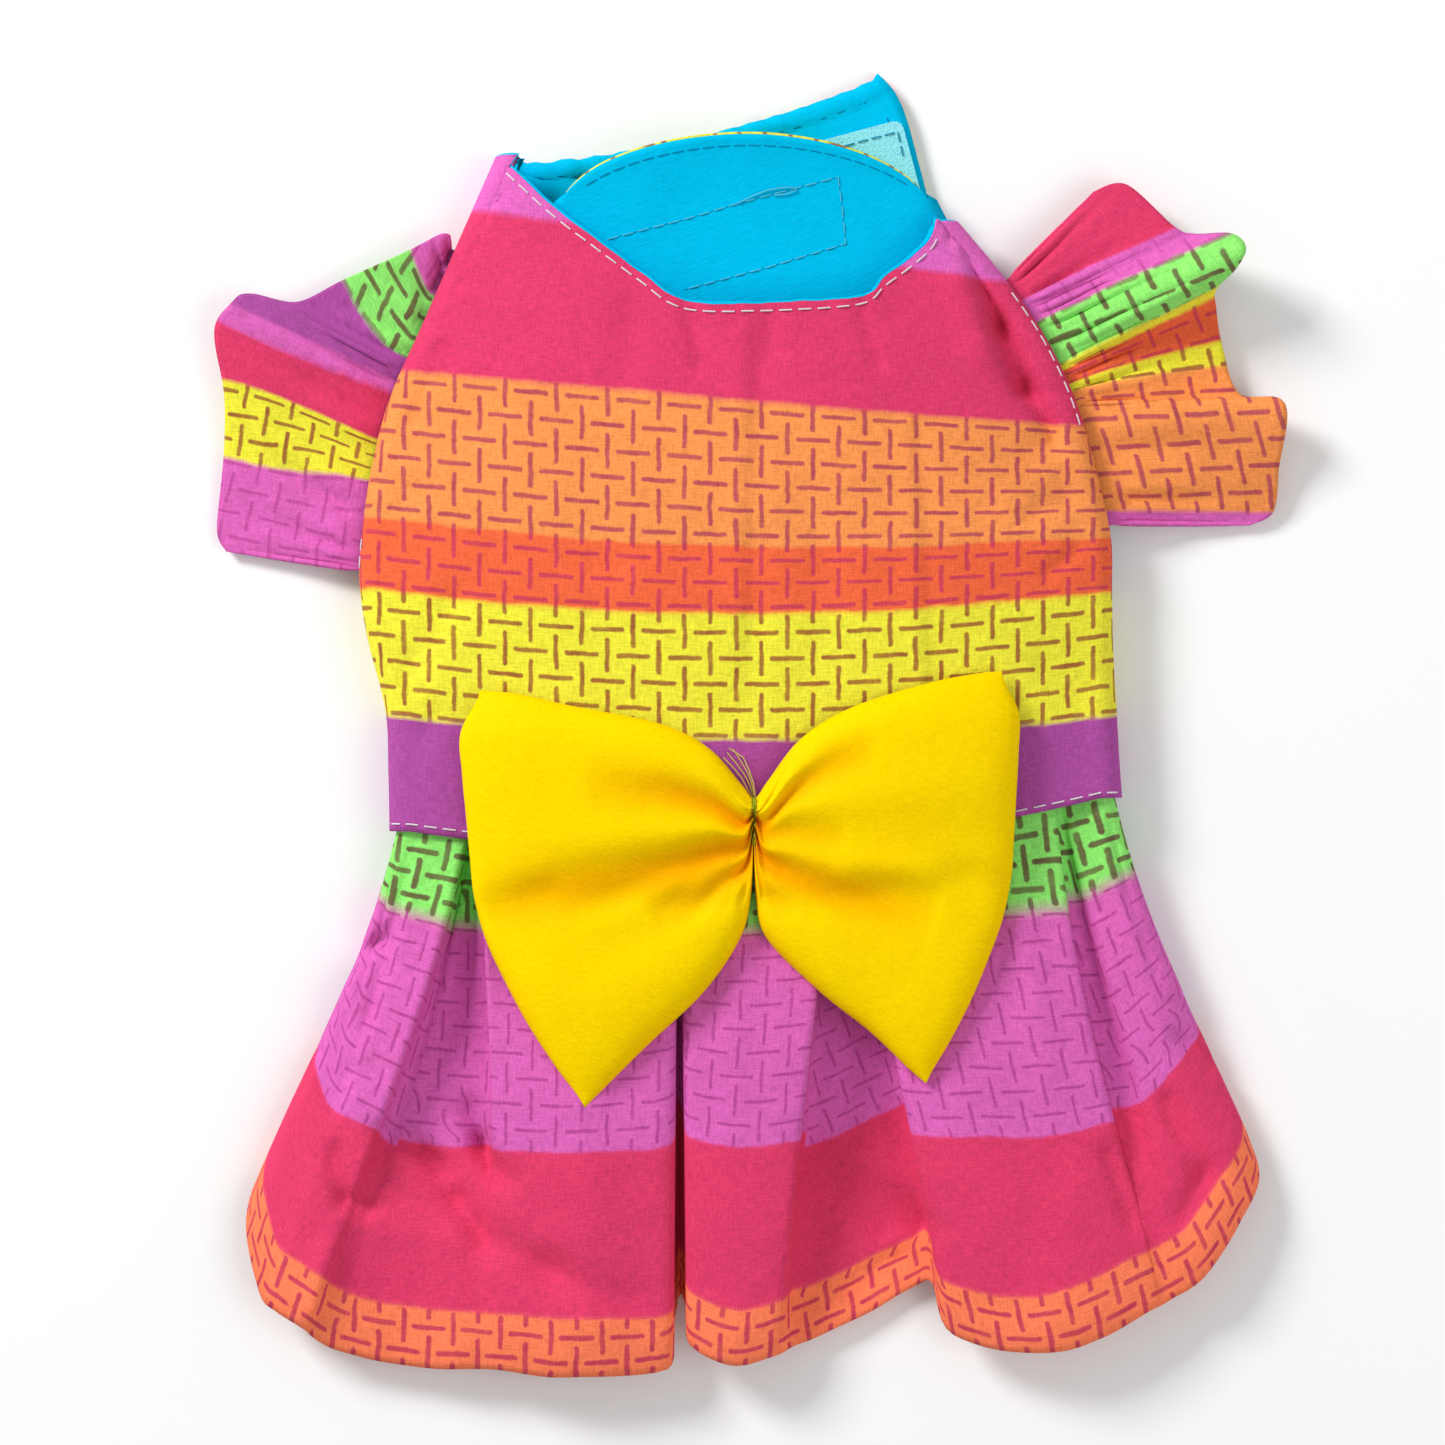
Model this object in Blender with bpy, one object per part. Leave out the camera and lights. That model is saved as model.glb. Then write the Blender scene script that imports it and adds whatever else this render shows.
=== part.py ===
"""A small dog's striped dress with a bow, laid out belly down on a flat surface.

Metres, +Z up, +Y towards the neck. The garment's own origin is the middle of the waist seam on the
surface it lies on, and the empty called dress moves it so that the whole thing is centred.
The bodice is one cut of cloth: the back lies on top, and at each side it rolls round to a belly flap
and a neck strap that close on each other underneath, with a leg hole between them.
"""

import math
from collections import namedtuple

import bmesh
import bpy
from mathutils import Vector
from mathutils.bvhtree import BVHTree

# Cloth and clearances
CLOTH = 0.0012
LINING = 0.0010
FASTENER = 0.0010
GAP = 0.0003

# Bodice
BODICE_WIDTH = 0.161
BODICE_LENGTH = 0.112
SIDE_HEIGHT = 0.0125
BACK_HEIGHT = 0.0205
SIDE_ROLL = 0.0045
BELLY_OVERLAP = 0.024
STRAP_ARCH = 0.0210
STRAP_RISE = 0.0040
STRAP_CORNER = 0.0034

# Hook and loop strips
NECK_STRIP_LENGTH = 0.052
NECK_STRIP_WIDTH = 0.018
STRIP_CORNER = 0.002
NECK_STRIP_TURN = math.radians(15)
BELLY_STRIP_LENGTH = 0.034
BELLY_STRIP_WIDTH = 0.018

# Skirt
SKIRT_LENGTH = 0.1165
HEM_WIDTH = 0.220
HEM_LIFT = 0.0125
PLEAT_DROP = 0.0030
PLEAT_DEPTH = 0.0052
PLEAT_FLOOR = 0.0016
SKIRT_PUFF = 0.0010
WAIST_HOLD = 0.12
SEAM_TUCK = 0.004

# Sleeves
SLEEVE_REACH = 0.035
SLEEVE_LIFT = 0.016
SLEEVE_TUCK = 0.0025
SLEEVE_CLEARANCE = 0.0018

# Bow
BOW_WIDTH = 0.117
BOW_HEIGHT = 0.0935
BOW_THICKNESS = 0.0062
BOW_FOLD = 0.0032
CREASE_WIDTH = 0.075
BOW_OFFSET = 0.001
BOW_SEARCH = 0.005
THREAD_WIDTH = 0.0018
THREAD_THICKNESS = 0.0007

# Colours
PRINT = (0.64, 0.045, 0.13)
TURQUOISE = (0.001, 0.565, 0.92)
PALE_BLUE = (0.33, 0.82, 0.90)
YELLOW = (0.97, 0.70, 0.002)
OLIVE = (0.26, 0.34, 0.02)

# How finely the cloth is divided
TOP_STEPS = 16
ROLL_STEPS = 3
FLAP_STEPS = 7
BODY_ROWS = (4, 6, 3)
SKIRT_STEPS = 2
SKIRT_ROWS = 9
SLEEVE_STEPS = 3
SLEEVE_ROWS = 5
BOW_ROWS = 15
BOW_STEPS = 2
THREAD_STEPS = 6

HALF = BODICE_WIDTH / 2

# The back, row by row from the waist to the neck. x is a share of half the bodice's width, y and
# sag of its length, left_z and right_z of the side height and back_z of the back height.
BackRow = namedtuple("BackRow", "left_x left_y right_x right_y sag left_z right_z back_z")
BACK_ROWS = (
    BackRow(-0.956, -0.006, 0.994, 0.058, -0.064, 1.00, 1.00, 0.78),
    BackRow(-0.959, 0.106, 0.986, 0.140, -0.060, 1.00, 1.00, 0.84),
    BackRow(-0.967, 0.227, 0.980, 0.221, -0.057, 1.00, 1.00, 0.91),
    BackRow(-1.015, 0.365, 0.970, 0.346, -0.055, 1.00, 1.00, 0.97),
    BackRow(-1.036, 0.470, 0.967, 0.457, -0.055, 1.00, 1.00, 1.00),
    BackRow(-1.031, 0.557, 0.964, 0.557, -0.050, 1.00, 1.00, 1.00),
    BackRow(-1.007, 0.682, 0.929, 0.672, -0.035, 1.00, 1.00, 0.99),
    BackRow(-0.956, 0.825, 0.871, 0.816, -0.015, 0.98, 1.02, 0.96),
    BackRow(-0.868, 0.969, 0.788, 0.941, 0.000, 0.95, 1.05, 0.93),
    BackRow(-0.775, 1.123, 0.676, 1.056, 0.000, 0.92, 1.08, 0.90),
    BackRow(-0.673, 1.290, 0.556, 1.160, 0.000, 0.90, 1.10, 0.88),
)
BELLY_TOP = 4
ARM_TOP = 9
NECK_START = 6
NECK_END = len(BACK_ROWS) - 1

# The neckline from the left shoulder to the right one, in the same shares.
NeckPoint = namedtuple("NeckPoint", "x y")
NECKLINE = (
    NeckPoint(-0.640, 1.270),
    NeckPoint(-0.508, 1.181),
    NeckPoint(-0.295, 1.065),
    NeckPoint(-0.168, 1.004),
    NeckPoint(0.053, 1.000),
    NeckPoint(0.299, 1.013),
    NeckPoint(0.361, 1.050),
    NeckPoint(0.470, 1.115),
    NeckPoint(0.500, 1.165),
)

# The neck straps' tips, in the same shares. An arch is how far an edge bows towards the neck.
StrapTip = namedtuple("StrapTip", "upper_x upper_y lower_x lower_y upper_arch lower_arch")
LEFT_STRAP_TIP = StrapTip(0.392, 1.460, 0.528, 1.100, -0.24, -0.25)
RIGHT_STRAP_TIP = StrapTip(-0.580, 1.135, -0.560, 0.860, 1.00, 0.10)

# The middles of the two strips that close the neck, in the same shares.
NeckStrip = namedtuple("NeckStrip", "x y")
NECK_HOOKS = NeckStrip(0.128, 1.231)
NECK_LOOPS = NeckStrip(-0.068, 1.125)

# The skirt's folds from the left edge to the right one. waist is a share of half the waist seam,
# where 1 is the side fold and more than 1 is round it. sink is a share of the pleat drop. hem_x is
# a share of half the hem's width, hem_y of the skirt's length and lift of the hem's height.
Fold = namedtuple("Fold", "waist sink hem_x hem_y lift")
SKIRT_FOLDS = (
    Fold(-1.42, 0.0, -0.800, 0.655, 0.00),
    Fold(-1.20, 0.0, -0.935, 0.632, 0.08),
    Fold(-1.00, 0.0, -0.983, 0.725, 0.44),
    Fold(-0.95, 0.0, -0.955, 0.855, 0.72),
    Fold(-0.88, 0.0, -0.920, 0.890, 0.88),
    Fold(-0.800, 0.0, -0.872, 0.918, 0.92),
    Fold(-0.788, 0.5, -0.850, 0.940, 0.78),
    Fold(-0.776, 1.0, -0.800, 0.968, 0.66),
    Fold(-0.762, 1.0, -0.680, 0.993, 0.60),
    Fold(-0.750, 0.5, -0.535, 1.000, 0.68),
    Fold(-0.738, 0.0, -0.470, 1.001, 0.88),
    Fold(-0.480, 0.0, -0.350, 1.008, 1.00),
    Fold(-0.238, 0.0, -0.160, 1.000, 0.82),
    Fold(-0.226, 0.5, -0.148, 0.925, 0.44),
    Fold(-0.210, 1.0, -0.135, 0.870, 0.10),
    Fold(-0.194, 0.5, -0.122, 0.890, 0.44),
    Fold(-0.182, 0.0, -0.113, 0.952, 0.82),
    Fold(0.010, 0.0, -0.032, 0.990, 0.98),
    Fold(0.190, 0.0, 0.048, 0.975, 0.88),
    Fold(0.202, 0.5, 0.088, 0.962, 0.56),
    Fold(0.214, 1.0, 0.146, 0.945, 0.30),
    Fold(0.270, 1.0, 0.315, 0.862, 0.22),
    Fold(0.284, 0.5, 0.362, 0.846, 0.46),
    Fold(0.296, 0.0, 0.402, 0.935, 0.80),
    Fold(0.475, 0.0, 0.567, 0.967, 1.00),
    Fold(0.680, 0.0, 0.690, 0.936, 1.00),
    Fold(0.802, 0.0, 0.788, 0.888, 0.86),
    Fold(0.816, 0.4, 0.806, 0.880, 0.78),
    Fold(0.832, 0.8, 0.828, 0.868, 0.74),
    Fold(0.876, 0.5, 0.890, 0.828, 0.80),
    Fold(0.940, 0.0, 0.958, 0.730, 0.72),
    Fold(1.00, 0.0, 1.000, 0.642, 0.42),
    Fold(1.20, 0.0, 0.950, 0.555, 0.08),
    Fold(1.42, 0.0, 0.815, 0.520, 0.00),
)

# The pleats between the skirt's panels. left and right are the folds at their edges, reach is how
# far down the skirt they run, as a share of its length, depth a share of the pleat depth, and hold
# how much the cloth is kept up at the edges, so that they stand out.
Pleat = namedtuple("Pleat", "left right reach depth hold")
PLEATS = (
    Pleat(2.0, 4.0, 0.62, 0.40, 0.0),
    Pleat(5.0, 10.0, 0.74, 1.00, 0.85),
    Pleat(12.0, 16.0, 2.00, 0.35, 0.40),
    Pleat(18.0, 23.0, 1.00, 0.95, 0.85),
    Pleat(26.0, 29.0, 0.80, 0.70, 0.60),
)

# Each sleeve's folds from its lower end to its upper one. row is where the fold meets the leg
# hole's edge, counted in back rows. out is how far its free end stands outside the bodice's half
# width, as a share of the sleeve's reach, end_y is a share of the bodice's length and lift of the
# sleeve's height.
SleeveFold = namedtuple("SleeveFold", "row out end_y lift")
LEFT_SLEEVE = (
    SleeveFold(4.31, 0.934, 0.534, 0.06),
    SleeveFold(4.55, 0.990, 0.578, 0.08),
    SleeveFold(5.10, 0.945, 0.716, 0.18),
    SleeveFold(5.90, 0.932, 0.833, 0.32),
    SleeveFold(6.70, 0.983, 0.956, 0.50),
    SleeveFold(7.17, 0.872, 1.008, 0.62),
    SleeveFold(7.35, 0.774, 1.025, 0.44),
    SleeveFold(7.55, 0.503, 1.014, 0.20),
    SleeveFold(7.95, 0.191, 1.058, 0.30),
    SleeveFold(8.50, -0.220, 1.113, 0.42),
    SleeveFold(8.80, -0.400, 1.142, 0.42),
    SleeveFold(8.93, -0.455, 1.142, 0.38),
)
RIGHT_SLEEVE = (
    SleeveFold(5.23, 0.811, 0.585, 0.06),
    SleeveFold(5.45, 0.952, 0.612, 0.10),
    SleeveFold(6.00, 0.975, 0.695, 0.30),
    SleeveFold(6.84, 0.996, 0.814, 0.55),
    SleeveFold(6.98, 0.737, 0.835, 0.22),
    SleeveFold(7.18, 0.627, 0.929, 0.24),
    SleeveFold(7.36, 0.584, 1.002, 0.34),
    SleeveFold(7.50, 0.565, 1.036, 0.62),
    SleeveFold(7.68, 0.670, 1.071, 0.92),
    SleeveFold(7.95, 0.731, 1.106, 1.00),
    SleeveFold(8.20, 0.657, 1.134, 0.82),
    SleeveFold(8.38, 0.455, 1.140, 0.46),
    SleeveFold(8.55, 0.320, 1.158, 0.40),
    SleeveFold(8.80, 0.031, 1.238, 0.40),
    SleeveFold(8.94, -0.171, 1.225, 0.38),
)

# The bow's sections from the left end to the right one. low_x, high_x and bulge are shares of half
# its width, low_y and high_y of its height from the waist seam, thick of its thickness.
BowSection = namedtuple("BowSection", "low_x low_y high_x high_y bulge thick")
BOW_SECTIONS = (
    BowSection(-0.616, -0.637, -0.995, 0.315, -0.22, 0.45),
    BowSection(-0.528, -0.582, -0.859, 0.308, -0.19, 0.85),
    BowSection(-0.382, -0.492, -0.657, 0.280, -0.14, 1.05),
    BowSection(-0.180, -0.372, -0.345, 0.241, -0.07, 1.10),
    BowSection(-0.048, -0.250, -0.165, 0.186, -0.03, 1.00),
    BowSection(-0.008, -0.150, -0.044, 0.103, -0.01, 0.90),
    BowSection(0.000, -0.032, 0.003, 0.071, 0.00, 0.75),
    BowSection(0.008, -0.150, 0.055, 0.113, 0.01, 0.90),
    BowSection(0.048, -0.250, 0.169, 0.204, 0.02, 1.00),
    BowSection(0.242, -0.372, 0.352, 0.276, 0.05, 1.10),
    BowSection(0.426, -0.464, 0.628, 0.331, 0.11, 1.05),
    BowSection(0.565, -0.547, 0.811, 0.354, 0.16, 0.85),
    BowSection(0.631, -0.582, 0.903, 0.359, 0.18, 0.45),
)

# How far the sections bow out from a straight line, from their lower end up, as shares of the
# bulge.
BOW_EDGE = (0.0, 0.32, 0.60, 0.80, 0.95, 0.97, 0.87, 0.76, 0.65, 0.50, 0.0)

# Valleys that run out of the bow's pinch: near and far are shares of the section's width from its
# lower edge, reach is how far they run towards the end and depth a share of the fold depth.
Crease = namedtuple("Crease", "side near far reach depth")
CREASES = (
    Crease(-1, 0.62, 0.76, 0.62, 1.0),
    Crease(-1, 0.45, 0.47, 0.95, 1.0),
    Crease(-1, 0.26, 0.33, 0.55, 0.9),
    Crease(-1, 0.12, 0.18, 0.30, 0.5),
    Crease(1, 0.58, 0.84, 0.55, 0.9),
    Crease(1, 0.50, 0.54, 0.50, 0.7),
    Crease(1, 0.34, 0.35, 0.72, 1.0),
    Crease(1, 0.16, 0.20, 0.40, 0.6),
)


def through(values, at):
    """The value at a place in a list, on a smooth curve through all of it."""
    last = len(values) - 1
    at = min(max(at, 0.0), float(last))
    i = min(int(at), last - 1)
    f = at - i
    a, b = values[max(i - 1, 0)], values[i]
    c, d = values[i + 1], values[min(i + 2, last)]
    bend = (2 * a - 5 * b + 4 * c - d) * f * f + (3 * b - a - 3 * c + d) * f * f * f
    return 0.5 * (2 * b + (c - a) * f + bend)


def column(rows, name):
    return [getattr(row, name) for row in rows]


def ease(t):
    return t * t * (3 - 2 * t)


def mix(a, b, t):
    return a + (b - a) * t


# Levels of the cloth's middle, from the surface up
LEFT_LEVEL = CLOTH / 2
RIGHT_STRAP_LEVEL = LEFT_LEVEL + CLOTH + LINING + 2 * FASTENER + 4 * GAP
RIGHT_BELLY_LEVEL = LEFT_LEVEL + CLOTH + FASTENER + 2 * GAP


def back_edge(side, row):
    """(x, y, height of the cloth) of the back's side edge at a row; side is -1 on the left."""
    word = "left" if side < 0 else "right"
    x = through(column(BACK_ROWS, word + "_x"), row) * HALF
    y = through(column(BACK_ROWS, word + "_y"), row) * BODICE_LENGTH
    z = through(column(BACK_ROWS, word + "_z"), row) * SIDE_HEIGHT
    return x, y, z


def under_level(side, row):
    """Height of the cloth's middle under the body: the right side closes over the left one."""
    if side < 0:
        return LEFT_LEVEL
    share = ease(min(max((row - BELLY_TOP) / (ARM_TOP - BELLY_TOP), 0.0), 1.0))
    return mix(RIGHT_BELLY_LEVEL, RIGHT_STRAP_LEVEL, share)


def neckline(u):
    at = u * (len(NECKLINE) - 1)
    x = through(column(NECKLINE, "x"), at) * HALF
    y = through(column(NECKLINE, "y"), at) * BODICE_LENGTH
    return Vector((x, y))


def straight_row(u, row):
    """A point of the back's plan on a row that runs from side to side, with its sag."""
    left, right = back_edge(-1, row), back_edge(1, row)
    x = mix(left[0] + SIDE_ROLL, right[0] - SIDE_ROLL, u)
    sag = through(column(BACK_ROWS, "sag"), row) * BODICE_LENGTH
    return Vector((x, mix(left[1], right[1], u) + sag * 4 * u * (1 - u)))


def back_plan(u, row):
    """A point of the back's plan: u runs from the left roll to the right one."""
    if row <= NECK_START:
        return straight_row(u, row)
    t = (row - NECK_START) / (NECK_END - NECK_START)
    sides = mix(straight_row(0, row), straight_row(1, row), u)
    across = mix(straight_row(u, NECK_START), neckline(u), t)
    low = mix(straight_row(0, NECK_START), straight_row(1, NECK_START), u)
    high = mix(straight_row(0, NECK_END), straight_row(1, NECK_END), u)
    return sides + across - mix(low, high, t)


def back_point(u, row):
    """A point of the back's cloth, domed between its side rolls."""
    plan = back_plan(u, row)
    side = mix(back_edge(-1, row)[2], back_edge(1, row)[2], u)
    crown = through(column(BACK_ROWS, "back_z"), row) * BACK_HEIGHT
    dome = 1 - abs(2 * u - 1) ** 2.4
    return Vector((plan.x, plan.y, mix(side, crown, dome)))


def roll_point(side, turn, row):
    """A point of the side roll: turn is 0 on top, 1 at the fold and 2 underneath."""
    x, y, top = back_edge(side, row)
    low = under_level(side, row)
    angle = turn * math.pi / 2
    across = SIDE_ROLL * (1 - math.sin(angle))
    return Vector((x - side * across, y, mix(low, top, (1 + math.cos(angle)) / 2)))


def belly_flap(side, s, row):
    """A point of the belly flap: s is 0 at the roll and 1 at its free edge past the middle."""
    start = roll_point(side, 2, row)
    end_x = -side * BELLY_OVERLAP / 2
    return Vector((mix(start.x, end_x, s), start.y, start.z))


def strap(side, s, row):
    """A point of the neck strap: s is 0 at the roll and 1 at its tip."""
    start = roll_point(side, 2, row)
    tip = LEFT_STRAP_TIP if side < 0 else RIGHT_STRAP_TIP
    w = (NECK_END - row) / (NECK_END - ARM_TOP)
    end_x = mix(tip.upper_x, tip.lower_x, w) * HALF
    end_y = mix(tip.upper_y, tip.lower_y, w) * BODICE_LENGTH
    arch = mix(tip.upper_arch, tip.lower_arch, w) * STRAP_ARCH * math.sin(math.pi * s) ** 0.45
    rounding = STRAP_CORNER * (max(0.0, s - 0.8) / 0.2) ** 2 * (2 * w - 1) ** 4
    x = mix(start.x, end_x, s) + side * rounding
    rise = STRAP_RISE * max(side, 0) * (1 - w) ** 3 * math.sin(math.pi * s) ** 0.5
    y = mix(start.y, end_y, s) + arch - rounding / 2 * (1 - w)
    return Vector((x, y, start.z + rise))


def body_columns():
    """The bodice's columns from the left free edge to the right one, as (zone, side, place)."""
    top = [("back", 0, i / TOP_STEPS) for i in range(1, TOP_STEPS)]
    halves = []
    for side in (-1, 1):
        over = [("roll", side, i / ROLL_STEPS) for i in range(ROLL_STEPS + 1)]
        under = [("roll", side, 1 + i / ROLL_STEPS) for i in range(1, ROLL_STEPS + 1)]
        flap = [("flap", side, i / FLAP_STEPS) for i in range(1, FLAP_STEPS + 1)]
        halves.append(over + under + flap)
    return halves[0][::-1] + top + halves[1]


def body_rows():
    """The bodice's rows, each part of it divided evenly."""
    marks = (0, BELLY_TOP, ARM_TOP, NECK_END)
    rows = [0.0]
    for low, high, steps in zip(marks, marks[1:], BODY_ROWS):
        rows += [mix(low, high, (i + 1) / steps) for i in range(steps)]
    return rows


def body_point(place, row):
    zone, side, at = place
    if zone == "back":
        return back_point(at, row)
    if zone == "roll":
        return roll_point(side, at, row)
    return belly_flap(side, at, row) if row <= BELLY_TOP else strap(side, at, row)


def is_over(place):
    """Whether a column lies on the back or on the upper half of a side roll."""
    zone, _, at = place
    return zone == "back" or (zone == "roll" and at <= 1)


def grid_object(name, points, faces):
    """An object from a dictionary of points and a list of faces that name them."""
    built = bmesh.new()
    corners = {key: built.verts.new(place) for key, place in points.items()}
    for face in faces:
        built.faces.new([corners[key] for key in face])
    mesh = bpy.data.meshes.new(name)
    built.to_mesh(mesh)
    built.free()
    return place_object(name, mesh)


def place_object(name, data):
    made = bpy.data.objects.new(name, data)
    bpy.context.scene.collection.objects.link(made)
    made.parent = dress
    bpy.context.view_layer.update()
    return made


def thicken(obj, thickness, inward=0.0):
    """Makes a sheet a closed wall about its middle, moved inward from where it was drawn."""
    if inward:
        move = obj.modifiers.new("inside", "DISPLACE")
        move.mid_level = 0.0
        move.strength = -inward
    wall = obj.modifiers.new("wall", "SOLIDIFY")
    wall.thickness = thickness
    wall.offset = 0.0
    obj.data.shade_smooth()
    return obj


def paint(obj, name, colour, roughness):
    material = bpy.data.materials.get(name)
    if material is None:
        material = bpy.data.materials.new(name)
        material.use_nodes = True
        shader = material.node_tree.nodes["Principled BSDF"]
        shader.inputs["Base Color"].default_value = (*colour, 1)
        shader.inputs["Roughness"].default_value = roughness
        shader.inputs["Metallic"].default_value = 0.0
    obj.data.materials.append(material)
    return obj


def body_sheet(name, keep):
    """The bodice's cut of cloth, of the cells for which keep(place, next place, row) is true."""
    places, rows = body_columns(), body_rows()
    faces, used = [], set()
    for j in range(len(rows) - 1):
        for i in range(len(places) - 1):
            if keep(places[i], places[i + 1], (rows[j] + rows[j + 1]) / 2):
                face = [(i, j), (i + 1, j), (i + 1, j + 1), (i, j + 1)]
                faces.append(face)
                used.update(face)
    points = {}
    for i, j in sorted(used):
        points[(i, j)] = body_point(places[i], rows[j])
    return grid_object(name, points, faces)


def make_bodice():
    """The outer cloth: the back, the belly flaps and the neck straps in one."""

    def keep(a, b, row):
        return (is_over(a) and is_over(b)) or row < BELLY_TOP or row > ARM_TOP

    return paint(thicken(body_sheet("bodice", keep), CLOTH), "printed_cotton", PRINT, 0.9)


def make_lining():
    """The plain lining inside the back and the neck straps, just clear of the waist seam."""
    first = BELLY_TOP / BODY_ROWS[0]

    def keep(a, b, row):
        return row > first and ((is_over(a) and is_over(b)) or row > ARM_TOP)

    sheet = body_sheet("lining", keep)
    inward = CLOTH / 2 + GAP + LINING / 2
    return paint(thicken(sheet, LINING, inward), "lining_cotton", TURQUOISE, 0.85)


def waist_point(share, row, sink):
    """A point of the skirt's top edge, inside the bodice's wall by the gap and the sink."""
    left, right = back_edge(-1, row), back_edge(1, row)
    inset = CLOTH + GAP + sink
    side = -1 if share < 0 else 1
    rolled = SIDE_ROLL / ((right[0] - left[0]) / 2)
    if abs(share) <= 1 - rolled:
        point = back_point((share / (1 - rolled) + 1) / 2, row)
        return point - Vector((0, 0, inset))
    turn = (abs(share) - (1 - rolled)) / rolled if abs(share) <= 1 else 1 + (abs(share) - 1) * 2
    point = roll_point(side, turn, row)
    angle = turn * math.pi / 2
    return point - Vector((side * math.sin(angle), 0, math.cos(angle))) * inset


def plain_skirt_point(at, v):
    """A point of the skirt without its pleats: at counts the folds, v runs from waist to hem.

    v is below 0 where the cloth is tucked in behind the waist seam.
    """
    fold = {name: through(column(SKIRT_FOLDS, name), at) for name in Fold._fields}
    sink = fold["sink"] * PLEAT_DROP
    if v < 0:
        row = SEAM_TUCK / BODICE_LENGTH / (BACK_ROWS[1].left_y - BACK_ROWS[0].left_y)
        return waist_point(fold["waist"], row, sink)
    top = waist_point(fold["waist"], 0, sink) - Vector((0, GAP, 0))
    hem_z = CLOTH / 2 + max(fold["lift"], 0.0) * HEM_LIFT
    hem = Vector((fold["hem_x"] * HEM_WIDTH / 2, -fold["hem_y"] * SKIRT_LENGTH, hem_z))
    point = mix(top, hem, v)
    point.x = mix(top.x, hem.x, v - WAIST_HOLD * math.sin(math.pi * v) * (1 - v))
    point.z += SKIRT_PUFF * math.sin(math.pi * v) * fold["lift"]
    return point


def skirt_point(at, v):
    """A point of the skirt, with the pleats between its panels sunk and their edges held up."""
    point = plain_skirt_point(at, v)
    for pleat in PLEATS:
        if v <= 0 or not pleat.left < at < pleat.right:
            continue
        spread = math.sin(math.pi * min(v / pleat.reach, 1.0)) ** 0.7
        near = pleat.left if at - pleat.left < pleat.right - at else pleat.right
        inside = abs(at - near) / ((pleat.right - pleat.left) / 2)
        hold = pleat.hold * spread * (1 - ease(min(max(inside - 0.35, 0.0) / 0.65, 1.0)))
        point.x = mix(point.x, plain_skirt_point(near, v).x, hold)
        sunk = point.z - pleat.depth * PLEAT_DEPTH * spread * ease(min(inside / 0.6, 1.0))
        point.z = max(sunk, min(point.z, PLEAT_FLOOR))
    return point


def make_skirt():
    """The pleated skirt, whose ends turn under at both sides."""
    steps = (len(SKIRT_FOLDS) - 1) * SKIRT_STEPS
    points = {
        (i, j): skirt_point(i / SKIRT_STEPS, 1 - j / (SKIRT_ROWS - 1))
        for i in range(steps + 1)
        for j in range(SKIRT_ROWS + 1)
    }
    faces = grid_faces(steps, SKIRT_ROWS)
    sheet = grid_object("skirt", points, faces)
    return paint(thicken(sheet, CLOTH), "printed_cotton", PRINT, 0.9)


def grid_faces(columns, rows):
    return [
        [(i, j), (i + 1, j), (i + 1, j + 1), (i, j + 1)]
        for i in range(columns)
        for j in range(rows)
    ]


def sleeve_point(side, table, at, t):
    """A point of a sleeve: at counts its folds from below, t runs from the leg hole to the end.

    t is below 0 where the cloth is tucked in under the leg hole's edge.
    """
    fold = {name: through(column(table, name), at) for name in SleeveFold._fields}
    seam = roll_point(side, 1, fold["row"])
    along = roll_point(side, 1, fold["row"] + 0.1) - roll_point(side, 1, fold["row"] - 0.1)
    outward = Vector((along.y, -along.x, 0)).normalized() * side
    seam -= Vector((0, 0, CLOTH + 2 * GAP))
    if t < 0:
        return seam - outward * SLEEVE_TUCK
    start = seam + outward * SLEEVE_CLEARANCE
    end_x = side * (HALF + fold["out"] * SLEEVE_REACH)
    end = Vector((end_x, fold["end_y"] * BODICE_LENGTH, CLOTH / 2 + fold["lift"] * SLEEVE_LIFT))
    point = mix(start, end, t)
    point.z = mix(start.z, end.z, math.sin(t * math.pi / 2))
    return point


def make_sleeve(name, side, table):
    """A pleated sleeve, sewn in under the leg hole's edge."""
    steps = (len(table) - 1) * SLEEVE_STEPS
    points = {
        (i, j): sleeve_point(side, table, i / SLEEVE_STEPS, (j - 1) / (SLEEVE_ROWS - 1))
        for i in range(steps + 1)
        for j in range(SLEEVE_ROWS + 1)
    }
    faces = grid_faces(steps, SLEEVE_ROWS)
    if side > 0:
        faces = [face[::-1] for face in faces]
    sheet = grid_object(name, points, faces)
    return paint(thicken(sheet, CLOTH), "printed_cotton", PRINT, 0.9)


def strip(name, length, width, thickness, centre, angle):
    """A flat strip with rounded corners, as hook and loop tape is cut."""
    built = bmesh.new()
    bmesh.ops.create_cube(built, size=1.0)
    bmesh.ops.scale(built, vec=(length, width, thickness), verts=built.verts)
    upright = [e for e in built.edges if abs(e.verts[0].co.z - e.verts[1].co.z) > thickness / 2]
    bmesh.ops.bevel(built, geom=upright, offset=STRIP_CORNER, segments=3, affect="EDGES", profile=0.5)
    mesh = bpy.data.meshes.new(name)
    built.to_mesh(mesh)
    built.free()
    made = place_object(name, mesh)
    made.location = centre
    made.rotation_euler = (0, 0, angle)
    return made


def neck_strip(name, place, level):
    centre = (place.x * HALF, place.y * BODICE_LENGTH, level)
    made = strip(name, NECK_STRIP_LENGTH, NECK_STRIP_WIDTH, FASTENER, centre, NECK_STRIP_TURN)
    return paint(made, "hook_and_loop", PALE_BLUE, 0.8)


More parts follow.
